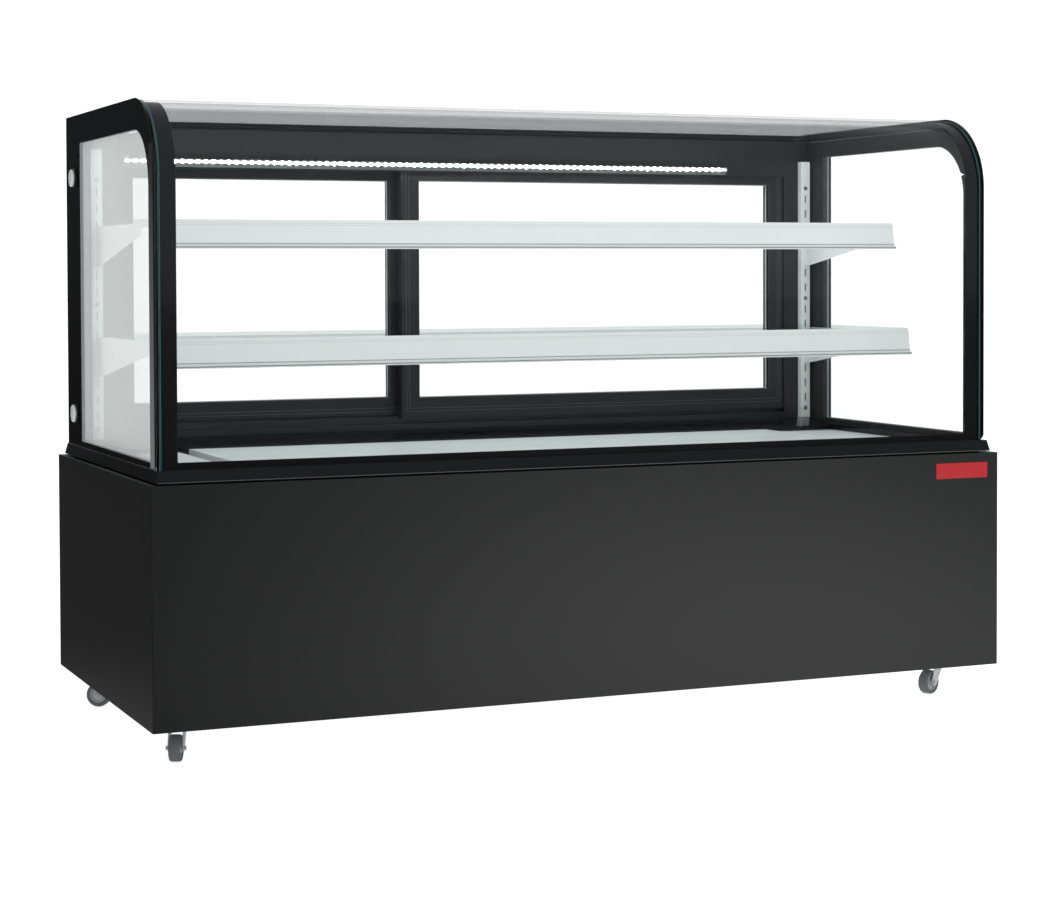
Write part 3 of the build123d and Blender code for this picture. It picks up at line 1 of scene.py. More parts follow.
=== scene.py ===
# %% [markdown]
# A curved glass refrigerated display case, dressed for a picture. The CAD model is
# already built, so this lesson starts by loading it as a fixed frame. Each CAD
# node keeps its place, and every new piece is made in metres round it.

# %% Load the frame
import json
from math import cos, pi, radians, sin

import bmesh
import bpy
from mathutils import Matrix, Vector


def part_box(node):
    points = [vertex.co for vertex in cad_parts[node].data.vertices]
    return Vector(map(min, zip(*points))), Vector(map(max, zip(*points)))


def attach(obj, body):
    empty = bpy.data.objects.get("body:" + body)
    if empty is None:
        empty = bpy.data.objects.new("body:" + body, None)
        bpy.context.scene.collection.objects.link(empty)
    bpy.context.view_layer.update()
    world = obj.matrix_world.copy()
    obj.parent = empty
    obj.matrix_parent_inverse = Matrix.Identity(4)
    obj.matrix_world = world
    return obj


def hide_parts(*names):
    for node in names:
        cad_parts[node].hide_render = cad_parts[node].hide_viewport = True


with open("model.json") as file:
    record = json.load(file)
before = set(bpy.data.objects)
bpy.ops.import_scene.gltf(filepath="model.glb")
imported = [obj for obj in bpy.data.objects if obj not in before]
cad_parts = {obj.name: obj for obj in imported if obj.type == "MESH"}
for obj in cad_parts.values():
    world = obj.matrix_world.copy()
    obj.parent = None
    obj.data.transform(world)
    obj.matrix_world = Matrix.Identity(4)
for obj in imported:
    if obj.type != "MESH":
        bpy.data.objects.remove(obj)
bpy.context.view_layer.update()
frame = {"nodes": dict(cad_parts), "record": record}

nodes = frame["nodes"]


def box(name):
    """Lowest and highest corner of a CAD node as two plain tuples, in metres."""
    low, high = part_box(name)
    return tuple(low), tuple(high)


# %% [markdown]
# Places come from the frame, never from a ruler held to the picture. A few sizes
# that the boxes can't give, such as the depth of a black border, are named here.

# %% Measure the case
MM = 0.001
glass_high = box("front_glass_outer")[1]
pane_low, pane_high = box("end_outer_panes")
ring_high = box("end_spacers")[1]
inner_high = box("end_inner_panes")[1]
sill_low, sill_high = box("deck_sill")
front_low = box("front_panel")[0]
arch_radius = 153 * MM
arch_front = pane_low[1]
arch_top = pane_high[2]
arch_rear = pane_high[1]
sill_top = pane_low[2]
pane_inner_x = ring_high[0]
print("arch front, top, rear:", arch_front, arch_top, arch_rear)

# %% [markdown]
# Materials come first. Each finish is a small node tree on Object coordinates,
# so that a pattern stays with its piece when a door slides. This helper builds a
# Principled shader with grain in its roughness and a fine bump, which is what
# powder coat, satin metal and moulded plastic have in common.


# %% Make a grained material
grain_detail = 3
relief_depth = 0.4 * MM


def add_node(tree, kind, values=None, **settings):
    """Add a node with its input values, by name or number, and its own settings."""
    made = tree.nodes.new(kind)
    for label, value in settings.items():
        setattr(made, label, value)
    for label, value in (values or {}).items():
        made.inputs[label].default_value = value
    return made


def grained(
    name, colour, roughness, metallic=0.0, grain=900.0, spread=0.06, bump=0.06,
    stretch=(1, 1, 1), gloss=0.5,
):
    """A Principled material whose roughness and surface vary with a fine noise."""
    material = bpy.data.materials.new(name)
    material.use_nodes = True
    tree = material.node_tree
    shader = tree.nodes["Principled BSDF"]
    shader.inputs["Base Color"].default_value = (*colour, 1)
    shader.inputs["Metallic"].default_value = metallic
    shader.inputs["Specular IOR Level"].default_value = gloss
    place = add_node(tree, "ShaderNodeTexCoord")
    scale = add_node(tree, "ShaderNodeMapping", {"Scale": stretch})
    noise = add_node(tree, "ShaderNodeTexNoise", {"Scale": grain, "Detail": grain_detail})
    level = add_node(
        tree, "ShaderNodeMapRange", {"To Min": roughness - spread, "To Max": roughness + spread}
    )
    relief = add_node(tree, "ShaderNodeBump", {"Strength": bump, "Distance": relief_depth})
    link = tree.links.new
    link(place.outputs["Object"], scale.inputs["Vector"])
    link(scale.outputs["Vector"], noise.inputs["Vector"])
    link(noise.outputs["Fac"], level.inputs["Value"])
    link(level.outputs["Result"], shader.inputs["Roughness"])
    link(noise.outputs["Fac"], relief.inputs["Height"])
    link(relief.outputs["Normal"], shader.inputs["Normal"])
    print("material", name)
    return material


# %% [markdown]
# The base is powder coated: near black, satin, with a faint orange peel. The
# surround is the same black with more gloss. The anodised frames are a shade
# lighter with an even grain, and the deck is pale steel, brushed along its length.

# %% Painted and printed finishes
powder_coat = grained("black_powder_coat", (0.0040, 0.0042, 0.0043), 0.34, grain=1400, bump=0.08)
gloss_black = grained(
    "gloss_black_surround", (0.005, 0.005, 0.006), 0.16, grain=300, spread=0.03, bump=0.01, gloss=0.3
)
white_coat = grained("white_powder_coat", (0.93, 0.94, 0.94), 0.42, grain=1600, bump=0.08)
shell_enamel = grained("compressor_enamel", (0.010, 0.010, 0.011), 0.22, grain=400, spread=0.04)
badge_red = grained("red_enamel", (0.38, 0.010, 0.013), 0.26, grain=900, spread=0.04, bump=0.03)
ceramic = grained(
    "black_ceramic_border", (0.005, 0.005, 0.0055), 0.10, grain=700, spread=0.02, bump=0.01
)
border_black = grained(
    "matt_black_border", (0.0045, 0.0045, 0.005), 0.40, grain=900, spread=0.04, bump=0.02, gloss=0.05
)
line_blue = grained("glass_arris", (0.012, 0.12, 0.115), 0.18, grain=300, spread=0.03, bump=0.01)

# %% [markdown]
# Metals differ in tone, in how even their grain is and in how much they mirror.

# %% Metal finishes
anodised = grained(
    "black_anodised", (0.022, 0.022, 0.024), 0.30, metallic=0.2, grain=500, spread=0.02, bump=0.004
)
deck_steel = grained(
    "pale_deck_steel", (0.86, 0.88, 0.875), 0.34, metallic=0.10, grain=260, spread=0.05, bump=0.03,
    stretch=(0.05, 1, 1),
)
zinc = grained(
    "bright_zinc", (0.50, 0.51, 0.53), 0.28, metallic=0.5, grain=240, spread=0.10, bump=0.05
)
mill_fins = grained(
    "mill_fins", (0.70, 0.71, 0.72), 0.38, metallic=0.8, grain=300, spread=0.08, bump=0.05
)
drawn_copper = grained(
    "drawn_copper", (0.72, 0.36, 0.20), 0.30, metallic=0.95, grain=200, spread=0.10, bump=0.04
)
spacer_metal = grained(
    "spacer_aluminium", (0.22, 0.23, 0.245), 0.38, metallic=0.2, grain=900, spread=0.06, bump=0.08
)
bar_silver = grained(
    "bright_spacer_bar", (0.80, 0.82, 0.83), 0.30, metallic=0.3, grain=900, spread=0.06, bump=0.05
)
# A grey that paints highlights along thin edges: the door beads and the surround's foot.
highlight_grey = grained(
    "painted_highlight_bead", (0.12, 0.12, 0.125), 0.30, metallic=0.3, grain=900, spread=0.06, bump=0.05
)
tub_skin = grained(
    "tub_skin", (0.62, 0.63, 0.62), 0.40, metallic=0.6, grain=60, spread=0.12, bump=0.05
)
polished = grained(
    "polished_chrome", (0.93, 0.94, 0.95), 0.18, metallic=0.35, grain=300, spread=0.03, bump=0.01
)
screw_steel = grained(
    "screw_steel", (0.34, 0.35, 0.37), 0.32, metallic=0.9, grain=900, spread=0.08, bump=0.04
)

# %% [markdown]
# Plastic and rubber are rougher, and their bump is stronger than the metals' bump.

# %% Plastic and rubber finishes
black_plastic = grained("black_plastic", (0.014, 0.014, 0.014), 0.48, grain=1800, bump=0.15)
grey_plastic = grained("grey_plastic", (0.36, 0.37, 0.38), 0.46, grain=1800, bump=0.12)
grey_tread = grained("grey_tread", (0.10, 0.103, 0.107), 0.60, grain=700, bump=0.20)
silicone = grained("black_silicone", (0.010, 0.010, 0.010), 0.42, grain=900, bump=0.06)

# %% [markdown]
# The shelf fascia is a pressed strip with two fine grooves below its top edge and
# two darker lines at its foot, all drawn as darker bands that paint the shade and
# reflection of its pressed shape. Both strips have the same section and hang one
# shelf pitch apart, so one height pattern, repeated at that pitch, draws both. The
# colour of each stop holds up to the next stop. Places are shares of the strip's height.


# %% Draw the fascia grooves
def grooved_fascia():
    """Pale satin metal with darker lines of painted shade at set heights of the strip."""
    pale = (0.66, 0.69, 0.685, 1)
    # The groove and lip colours are painted shade and reflection of the pressed shape.
    groove_shade = (0.52, 0.55, 0.54, 1)
    lip_shade = (0.26, 0.28, 0.27, 1)
    material = grained(
        "grooved_fascia", pale[:3], 0.40, grain=420, spread=0.05, bump=0.03, stretch=(0.02, 1, 1)
    )
    tree = material.node_tree
    place = add_node(tree, "ShaderNodeTexCoord")
    split = add_node(tree, "ShaderNodeSeparateXYZ")
    lift = add_node(tree, "ShaderNodeMath", {1: fascia_foot}, operation="SUBTRACT")
    cycle = add_node(tree, "ShaderNodeMath", {1: shelf_pitch}, operation="MODULO")
    scale = add_node(tree, "ShaderNodeMath", {1: fascia_height}, operation="DIVIDE")
    ramp = add_node(tree, "ShaderNodeValToRGB")
    ramp.color_ramp.interpolation = "CONSTANT"
    stops = (
        (0.0, pale), (0.035, lip_shade), (0.085, pale), (0.16, lip_shade), (0.19, pale),
        (0.80, groove_shade), (0.82, pale), (0.87, groove_shade), (0.89, pale),
    )
    points = ramp.color_ramp.elements
    points[0].position, points[0].color = stops[0]
    points[1].position, points[1].color = stops[1]
    for position, colour in stops[2:]:
        point = points.new(position)
        point.color = colour
    link = tree.links.new
    link(place.outputs["Object"], split.inputs["Vector"])
    link(split.outputs["Z"], lift.inputs[0])
    link(lift.outputs["Value"], cycle.inputs[0])
    link(cycle.outputs["Value"], scale.inputs[0])
    link(scale.outputs["Value"], ramp.inputs["Fac"])
    link(ramp.outputs["Color"], tree.nodes["Principled BSDF"].inputs["Base Color"])
    return material


fascia_low, fascia_high = box("shelf_fascias")
upper_glass_high = box("upper_shelf_glass")[1]
lower_glass_high = box("lower_shelf_glass")[1]
shelf_pitch = upper_glass_high[2] - lower_glass_high[2]
fascia_foot = fascia_low[2]
fascia_height = fascia_high[2] - shelf_pitch - fascia_foot
fascia_grooved = grooved_fascia()
print("fascia foot, height, pitch:", fascia_foot, fascia_height, shelf_pitch)

# %% [markdown]
# Clear glass at this size is best made without bending rays: each face lets the
# view through and adds a reflection that grows with the slant, as real panes do.
# Layer Weight gives that slant on both sides of a pane. The left window looks milky
# in the photograph, so the end panes also get a pale film that grows the same way.


# %% Make the glass
slant_power = 5
mist_white = (0.95, 0.985, 0.975, 1)


def clear_glass(name, tint, head_on, grazing, film=0.0):
    """Transparent glass with a mirror share that rises with the viewing angle."""
    material = bpy.data.materials.new(name)
    material.use_nodes = True
    tree = material.node_tree
    tree.nodes.remove(tree.nodes["Principled BSDF"])
    output = tree.nodes["Material Output"]
    weight = add_node(tree, "ShaderNodeLayerWeight", {"Blend": 0.5})
    power = add_node(tree, "ShaderNodeMath", {1: slant_power}, operation="POWER")
    share = add_node(tree, "ShaderNodeMapRange", {"To Min": head_on, "To Max": grazing})
    clear = add_node(tree, "ShaderNodeBsdfTransparent", {"Color": (*tint, 1)})
    mirror = add_node(tree, "ShaderNodeBsdfGlossy", {"Roughness": 0.0})
    mix = add_node(tree, "ShaderNodeMixShader")
    link = tree.links.new
    link(weight.outputs["Facing"], power.inputs[0])
    link(power.outputs["Value"], share.inputs["Value"])
    link(share.outputs["Result"], mix.inputs["Fac"])
    link(clear.outputs["BSDF"], mix.inputs[1])
    link(mirror.outputs["BSDF"], mix.inputs[2])
    link(mix.outputs["Shader"], output.inputs["Surface"])
    if film:
        mist = add_node(tree, "ShaderNodeBsdfDiffuse", {"Color": mist_white})
        cover = add_node(tree, "ShaderNodeMapRange", {"To Max": film})
        over = add_node(tree, "ShaderNodeMixShader")
        link(power.outputs["Value"], cover.inputs["Value"])
        link(cover.outputs["Result"], over.inputs["Fac"])
        link(mix.outputs["Shader"], over.inputs[1])
        link(mist.outputs["BSDF"], over.inputs[2])
        link(over.outputs["Shader"], output.inputs["Surface"])
    print("material", name)
    return material


curved_glass = clear_glass("curved_glass", (0.996, 1.0, 0.999), 0.010, 0.40)
end_glass = clear_glass("end_glass", (0.996, 1.0, 0.999), 0.012, 0.20, film=0.82)
shelf_glass = clear_glass("shelf_glass", (0.97, 0.995, 0.985), 0.020, 0.45)
door_glass = clear_glass("door_glass", (0.997, 1.0, 0.999), 0.010, 0.30)


# %% [markdown]
# Lamps are the one finish that shines. The strip has small bright chips behind a
# milky lens, so the chips and the lens get two strengths of the same cool white.


# %% Make the glowing finishes
def glowing(name, colour, strength):
    """A Principled surface that gives off light."""
    material = bpy.data.materials.new(name)
    material.use_nodes = True
    shader = material.node_tree.nodes["Principled BSDF"]
    shader.inputs["Base Color"].default_value = (*colour, 1)
    shader.inputs["Emission Color"].default_value = (*colour, 1)
    shader.inputs["Emission Strength"].default_value = strength
    return material


led_chip = glowing("led_chip", (0.95, 0.98, 1.0), 420)
led_line = glowing("led_line", (0.92, 0.97, 1.0), 6.0)
led_lens = glowing("led_lens", (0.16, 0.165, 0.17), 0.10)
digit_red = glowing("display_digit", (1.0, 0.06, 0.03), 2.0)

# %% [markdown]
# Each CAD node whose shape is right keeps it and only gets a finish. A table of
# names and materials says this more plainly than sixty lines of the same call.
# The side caps and the wheels are in it too, although new pieces replace them later.

# %% Dress the CAD nodes
finishes = {
    powder_coat: (
        "front_panel", "left_side_panel", "right_side_panel", "rear_grilles", "control_panel",
    ),
    gloss_black: ("deck_sill", "rear_air_duct"),
    anodised: (
        "rear_posts", "rear_header", "door_tracks", "left_door_frame", "right_door_frame",
    ),
    ceramic: ("end_spacers",),
    silicone: ("front_glass_spacer",),
    end_glass: ("end_outer_panes", "end_inner_panes"),
    curved_glass: ("front_glass_outer", "front_glass_inner"),
    shelf_glass: ("upper_shelf_glass", "lower_shelf_glass"),
    door_glass: ("left_door_glass", "right_door_glass"),
    deck_steel: ("deck_pans", "tub_liner"),
    fascia_grooved: ("shelf_fascias",),
    white_coat: ("shelf_uprights", "shelf_brackets"),
    led_lens: ("header_light",),
    tub_skin: ("insulated_tub",),
    zinc: (
        "floor_pan", "base_frame", "evaporator_fan_plate", "fan_motors", "fan_shroud",
        "caster_plates", "front_left_fork", "front_right_fork", "rear_left_fork", "rear_right_fork",
    ),
    mill_fins: ("evaporator_coil", "condenser_coil", "condenser_fan"),
    drawn_copper: ("refrigerant_lines",),
    shell_enamel: ("compressor",),
    black_plastic: (
        "controller_housing", "light_switch_housing", "light_switch_rocker", "power_gland",
        "left_evaporator_fan", "right_evaporator_fan",
    ),
    grey_plastic: (
        "controller_button_1", "controller_button_2", "controller_button_3", "condensate_tray",
        "electrical_box",
    ),
    polished: ("side_caps",),
    grey_tread: ("front_left_wheel", "front_right_wheel", "rear_left_wheel", "rear_right_wheel"),
}
for finish, names in finishes.items():
    for name in names:
        if not nodes[name].material_slots:
            nodes[name].data.materials.append(finish)
        for entry in nodes[name].material_slots:
            entry.material = finish
print("dressed", sum(len(names) for names in finishes.values()), "nodes")


# %% [markdown]
# New pieces are plain meshes with their place in the mesh and the object at the
# origin. These helpers do what every piece needs: link it, give it a finish and let
# it ride on its body.


# %% Finish a piece
smallest = 1e-6


def piece(name, mesh, finish, body="case"):
    """Put a finished mesh in the scene as a piece of the object."""
    thing = bpy.data.objects.new(name, mesh)
    bpy.context.scene.collection.objects.link(thing)
    mesh.materials.clear()
    mesh.materials.append(finish)
    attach(thing, body)
    print("piece", name, "faces", len(mesh.polygons), "on", body)
    return thing


def mesh_from(name, shape, smooth=False):
    """Turn a bmesh into a mesh with its normals outwards."""
    bmesh.ops.remove_doubles(shape, verts=shape.verts, dist=smallest)
    bmesh.ops.recalc_face_normals(shape, faces=shape.faces)
    mesh = bpy.data.meshes.new(name)
    shape.to_mesh(mesh)
    shape.free()
    for face in mesh.polygons:
        face.use_smooth = smooth
    return mesh


def add_block(shape, low, high):
    """Add a block between two corners to a bmesh."""
    middle = Vector([(a + b) / 2 for a, b in zip(low, high)])
    size = [b - a for a, b in zip(low, high)]
    place = Matrix.Translation(middle) @ Matrix.Diagonal((*size, 1))
    bmesh.ops.create_cube(shape, size=1, matrix=place)


def add_turned(shape, profile, turn, sides=40):
    """Add a lathe form: profile is (radius, height) pairs, turn places its axis."""
    rings = []
    for radius, height in profile:
        if radius < smallest:
            rings.append([shape.verts.new(turn @ Vector((0, 0, height)))])
            continue
        angles = [2 * pi * step / sides for step in range(sides)]
        points = [Vector((radius * cos(a), radius * sin(a), height)) for a in angles]
        rings.append([shape.verts.new(turn @ point) for point in points])
    for one, two in zip(rings, rings[1:]):
        for step in range(sides):
            after = (step + 1) % sides
            corners = [one[step % len(one)], one[after % len(one)]]
            corners += [two[after % len(two)], two[step % len(two)]]
            corners = list(dict.fromkeys(corners))
            if len(corners) > 2:
                shape.faces.new(corners)


# %% [markdown]
# Geometry Nodes do the repeats. This tree sets one item on a row of points: it has
# named inputs for the item, the count, the first place and the step, and ends in
# Realize Instances and Set Material, because the export drops instances.


# %% Build the tree for rows
def socket(tree, label, kind, value=None):
    """Add a named input to a tree."""
    entry = tree.interface.new_socket(label, in_out="INPUT", socket_type=kind)
    if value is not None:
        entry.default_value = value
    return entry


def row_tree():
    """A node tree that repeats an item along a straight row."""
    tree = bpy.data.node_groups.new("row_of_items", "GeometryNodeTree")
    tree.interface.new_socket("Geometry", in_out="OUTPUT", socket_type="NodeSocketGeometry")
    socket(tree, "Item", "NodeSocketObject")
    socket(tree, "Count", "NodeSocketInt", 2)
    socket(tree, "First place", "NodeSocketVector")
    socket(tree, "Step", "NodeSocketVector")
    socket(tree, "Finish", "NodeSocketMaterial")
    inputs = tree.nodes.new("NodeGroupInput")
    line = tree.nodes.new("GeometryNodeMeshLine")
    item = tree.nodes.new("GeometryNodeObjectInfo")
    place = tree.nodes.new("GeometryNodeInstanceOnPoints")
    real = tree.nodes.new("GeometryNodeRealizeInstances")
    finish = tree.nodes.new("GeometryNodeSetMaterial")
    output = tree.nodes.new("NodeGroupOutput")
    link = tree.links.new
    link(inputs.outputs["Item"], item.inputs["Object"])
    link(inputs.outputs["Count"], line.inputs["Count"])
    link(inputs.outputs["First place"], line.inputs["Start Location"])
    link(inputs.outputs["Step"], line.inputs["Offset"])
    link(line.outputs["Mesh"], place.inputs["Points"])
    link(item.outputs["Geometry"], place.inputs["Instance"])
    link(place.outputs["Instances"], real.inputs["Geometry"])
    link(real.outputs["Geometry"], finish.inputs["Geometry"])
    link(inputs.outputs["Finish"], finish.inputs["Material"])
    link(finish.outputs["Geometry"], output.inputs["Geometry"])
    return tree


rows = row_tree()
print("tree", rows.name, "with", len(rows.nodes), "nodes")


# %% [markdown]
# A modifier's inputs are set by the socket's identifier, before the object is
# first evaluated. The evaluated result becomes a plain mesh and the helper object
# goes away, so no modifier is left when the piece starts to ride.


# %% Run a tree
def run_tree(tree, values):
    """Evaluate a node tree with named values and return its plain mesh."""
    holder = bpy.data.objects.new("holder", bpy.data.meshes.new("holder"))
    bpy.context.scene.collection.objects.link(holder)
    modifier = holder.modifiers.new("nodes", "NODES")
    modifier.node_group = tree
    for entry in tree.interface.items_tree:
        if entry.in_out == "INPUT" and entry.name in values:
            modifier[entry.identifier] = values[entry.name]
    holder.update_tag()
    bpy.context.view_layer.update()
    graph = bpy.context.evaluated_depsgraph_get()
    mesh = bpy.data.meshes.new_from_object(holder.evaluated_get(graph))
    bpy.data.objects.remove(holder)
    return mesh


def joined(meshes):
    """Merge plain meshes into one."""
    shape = bmesh.new()
    for mesh in meshes:
        shape.from_mesh(mesh)
    result = bpy.data.meshes.new("joined")
    shape.to_mesh(result)
    shape.free()
    result.materials.append(meshes[0].materials[0])
    return result


def pattern_item(name, shape, smooth=False):
    """Keep an item for a tree as an object that is never shown."""
    return bpy.data.objects.new(name, mesh_from(name, shape, smooth))


def row(item, count, first, step, finish):
    """One row of an item, as a plain mesh."""
    values = {"Item": item, "Count": count, "First place": first, "Step": step, "Finish": finish}
    return run_tree(rows, values)


# %% [markdown]
# The lamp strip under the header carries sixty chips to the metre. A chip shows as
# a small round bead of light, so each is a turned bead on the front of the lens. A
# thin bright line joins them, in two lengths with a gap between the two lamps.

# %% Light the header
light_low, light_high = box("header_light")
chip_pitch = 1 / 60
bead_radius = 3.6 * MM
chip_drop = 6.0 * MM
lamp_joint = (351 * MM, 355 * MM)
line_half = 2.0 * MM
chips_across = int((light_high[0] - light_low[0]) / chip_pitch)
chip = bmesh.new()
facing_front = Matrix.Rotation(pi / 2, 4, "X")
bead_profile = ((0, 0), (bead_radius, 0), (bead_radius * 0.72, 1.1 * MM), (0, 1.6 * MM))
add_turned(chip, bead_profile, facing_front, 10)
chip_item = pattern_item("chip_item", chip)
chip_z = light_high[2] - chip_drop
chip_face = (light_low[0] + chip_pitch / 2, light_low[1], chip_z)
chips = row(chip_item, chips_across, chip_face, (chip_pitch, 0, 0), led_chip)
piece("header_led_chips", chips, led_chip)
strip = bmesh.new()
lamps = ((light_low[0] + 2 * MM, lamp_joint[0]), (lamp_joint[1], light_high[0] - 4 * MM))
for start, end in lamps:
    add_block(
        strip, (start, light_low[1] - 0.3 * MM, chip_z - line_half),
        (end, light_low[1] + 0.2 * MM, chip_z + line_half),
    )
piece("header_led_line", mesh_from("line", strip), led_line)

# %% [markdown]
# The black borders of the end glass are ceramic, fired on a face of each pane. Here
# each is a thin black sheet, on the outer face of the outer pane and within the
# inner one. Outer and window outlines have the same number of points, so that quads
# join them.


# %% Draw the arched outlines
window_front = arch_front + 45 * MM
window_rear = arch_rear - 131 * MM
window_low = sill_top + 12 * MM
window_top = arch_top - 59 * MM
window_radius = arch_radius - 45 * MM
edge = 0.6 * MM
lower_corner = 9 * MM
inner_inset = 24 * MM
sheet = 0.2 * MM


def outline(front, top, rear, low, radius, corner, steps=24):
    """The end outline as (y, z) points, with a cut lower front corner."""
    points = [(front + corner, low), (front, low + corner)]
    for step in range(steps + 1):
        angle = pi - pi / 2 * step / steps
        points.append((front + radius + radius * cos(angle), top - radius + radius * sin(angle)))
    return points + [(rear, top), (rear, low)]


def border_sheet(shape, x_low, x_high, outer, inner):
    """Add a flat ring of two outlines with a small thickness along X."""
    count = len(outer)
    layers = []
    for x in (x_low, x_high):
        layers.append([[shape.verts.new((x, y, z)) for y, z in loop] for loop in (outer, inner)])
    (outer_a, inner_a), (outer_b, inner_b) = layers
    for step in range(count):
        after = (step + 1) % count
        shape.faces.new((outer_a[step], outer_a[after], inner_a[after], inner_a[step]))
        shape.faces.new((outer_b[step], inner_b[step], inner_b[after], outer_b[after]))
        shape.faces.new((outer_a[step], outer_b[step], outer_b[after], outer_a[after]))
        shape.faces.new((inner_a[step], inner_a[after], inner_b[after], inner_b[step]))


outer_outline = outline(
    arch_front + edge, arch_top - edge, arch_rear - edge, sill_top + edge,
    arch_radius - edge, lower_corner,
)
window_outline = outline(window_front, window_top, window_rear, window_low, window_radius, edge)
inner_outline = outline(
    arch_front + inner_inset, arch_top - inner_inset, arch_rear - edge, sill_top + edge,
    arch_radius - inner_inset, edge,
)

# %% [markdown]
# The same ring serves both ends, mirrored, with one window and two outer outlines.

# %% Lay the borders on the end panes
for side, name in ((-1, "left"), (1, "right")):
    shape = bmesh.new()
    for x, loop in ((pane_high[0], outer_outline), (inner_high[0] - 2 * sheet, inner_outline)):
        ends = sorted((side * x, side * (x + sheet)))
        border_sheet(shape, ends[0], ends[1], loop, window_outline)
    piece(f"{name}_end_border", mesh_from("border", shape), border_black)

# %% [markdown]
# The photograph shows a grey band in front of the left window, light at the foot and
# black at the top, where the frame between the panes seems to show through. This is
# a guess: a thin strip on the outer face, with a colour that runs up its height.


# %% Show the frame between the panes
def painted_light_grey(low, high):
    """Satin metal with painted light, grey at one height and near black at another."""
    # Painted light: grey at the foot, where more light falls, and near black at the top.
    foot = (0.21, 0.22, 0.235, 1)
    head = (0.010, 0.010, 0.011, 1)
    material = grained("strip_painted_light", (0.20, 0.21, 0.22), 0.42, grain=900, spread=0.05, bump=0.04)
    tree = material.node_tree
    place = add_node(tree, "ShaderNodeTexCoord")
    split = add_node(tree, "ShaderNodeSeparateXYZ")
    rise = add_node(tree, "ShaderNodeMapRange", {"From Min": low, "From Max": high})
    ramp = add_node(tree, "ShaderNodeValToRGB")
    ramp.color_ramp.elements[0].color = foot
    ramp.color_ramp.elements[1].color = head
    link = tree.links.new
    link(place.outputs["Object"], split.inputs["Vector"])
    link(split.outputs["Z"], rise.inputs["Value"])
    link(rise.outputs["Result"], ramp.inputs["Fac"])
    link(ramp.outputs["Color"], tree.nodes["Principled BSDF"].inputs["Base Color"])
    return material


strip_top = arch_top - 90 * MM
strip_front = arch_front + 13 * MM
strip_back = window_front - 1 * MM
# The strip's colour is painted light, brighter at the foot where more light falls.
strip_painted_light = painted_light_grey(sill_top, strip_top)
for side, name in ((-1, "left"), (1, "right")):
    shape = bmesh.new()
    faces = sorted((side * (pane_high[0] + sheet), side * (pane_high[0] + 2 * sheet)))
    add_block(
        shape, (faces[0], strip_front, sill_top + 2 * MM), (faces[1], strip_back, strip_top)
    )
    piece(f"{name}_edge_strip", mesh_from("strip", shape), strip_painted_light)

# %% [markdown]
# The curved glass has the same black band down both sides, along its foot and
# across its rear edge. Each band follows the bend, one mirrored thin sheet.


# %% Bend the borders of the curved glass
def bent_strip(shape, x_range, inset, thickness, low, rear, steps=32):
    """Add a strip that follows the bend of the curved glass."""
    points = []
    for depth in (inset, inset + thickness):
        radius = arch_radius - depth
        centre = (arch_front + arch_radius, arch_top - arch_radius)
        line = [(arch_front + depth, low)] if low < centre[1] else []
        for step in range(steps + 1):
            angle = pi - pi / 2 * step / steps
            line.append((centre[0] + radius * cos(angle), centre[1] + radius * sin(angle)))
        line.append((rear, arch_top - depth))
        points.append(line)
    loop = points[0] + points[1][::-1]
    ends = [[shape.verts.new((x, y, z)) for y, z in loop] for x in x_range]
    count = len(loop)
    half = len(points[0])
    for step in range(count):
        after = (step + 1) % count
        shape.faces.new((ends[0][step], ends[0][after], ends[1][after], ends[1][step]))
    for end in ends:
        for step in range(half - 1):
            across = (end[count - 2 - step], end[count - 1 - step])
            shape.faces.new((end[step], end[step + 1], *across))


curved_x = glass_high[0]
band_inset = 7.6 * MM
side_band = 31 * MM
foot_band = 13 * MM
rear_band = 72 * MM
band_foot = sill_top - 5 * MM
shape = bmesh.new()
for side in (-1, 1):
    x_range = sorted((side * (curved_x - edge), side * (curved_x - side_band)))
    bent_strip(shape, x_range, band_inset, sheet, band_foot, glass_high[1] - edge)
band_y = arch_front + band_inset
add_block(
    shape, (-curved_x + side_band, band_y, band_foot),
    (curved_x - side_band, band_y + sheet, sill_top + foot_band),
)
band_z = arch_top - band_inset
add_block(
    shape, (-curved_x + side_band, glass_high[1] - rear_band, band_z - sheet),
    (curved_x - side_band, glass_high[1] - edge, band_z),
)
piece("curved_glass_border", mesh_from("border", shape), ceramic)

# %% [markdown]
# Where the curved glass meets the end panes there is a joint of black silicone,
# and beside it the ground edge of the glass catches the light as a thin blue-green
# line. Both follow the same bend, so the same helper makes them.

# %% Fill the joints with silicone
joint_inset = 3.4 * MM
joint_depth = 18 * MM
arris_inset = 3.1 * MM
arris_depth = 0.4 * MM
arris_x = (curved_x + 0.2 * MM, curved_x + 1.5 * MM)
shape = bmesh.new()
arris = bmesh.new()
for side in (-1, 1):
    joint = sorted((side * curved_x, side * pane_inner_x))
    bent_strip(shape, joint, joint_inset, joint_depth, sill_top, glass_high[1])
    line = sorted(side * x for x in arris_x)
    bent_strip(arris, line, arris_inset, arris_depth, sill_top, glass_high[1])
piece("corner_silicone", mesh_from("silicone", shape), silicone)
piece("glass_arris_line", mesh_from("arris", arris), line_blue)

# %% [markdown]
# A grey spacer bar lines the window inside each end unit. It is a thin strip inside
# the black ring, and on the left it reaches in to the inner pane.

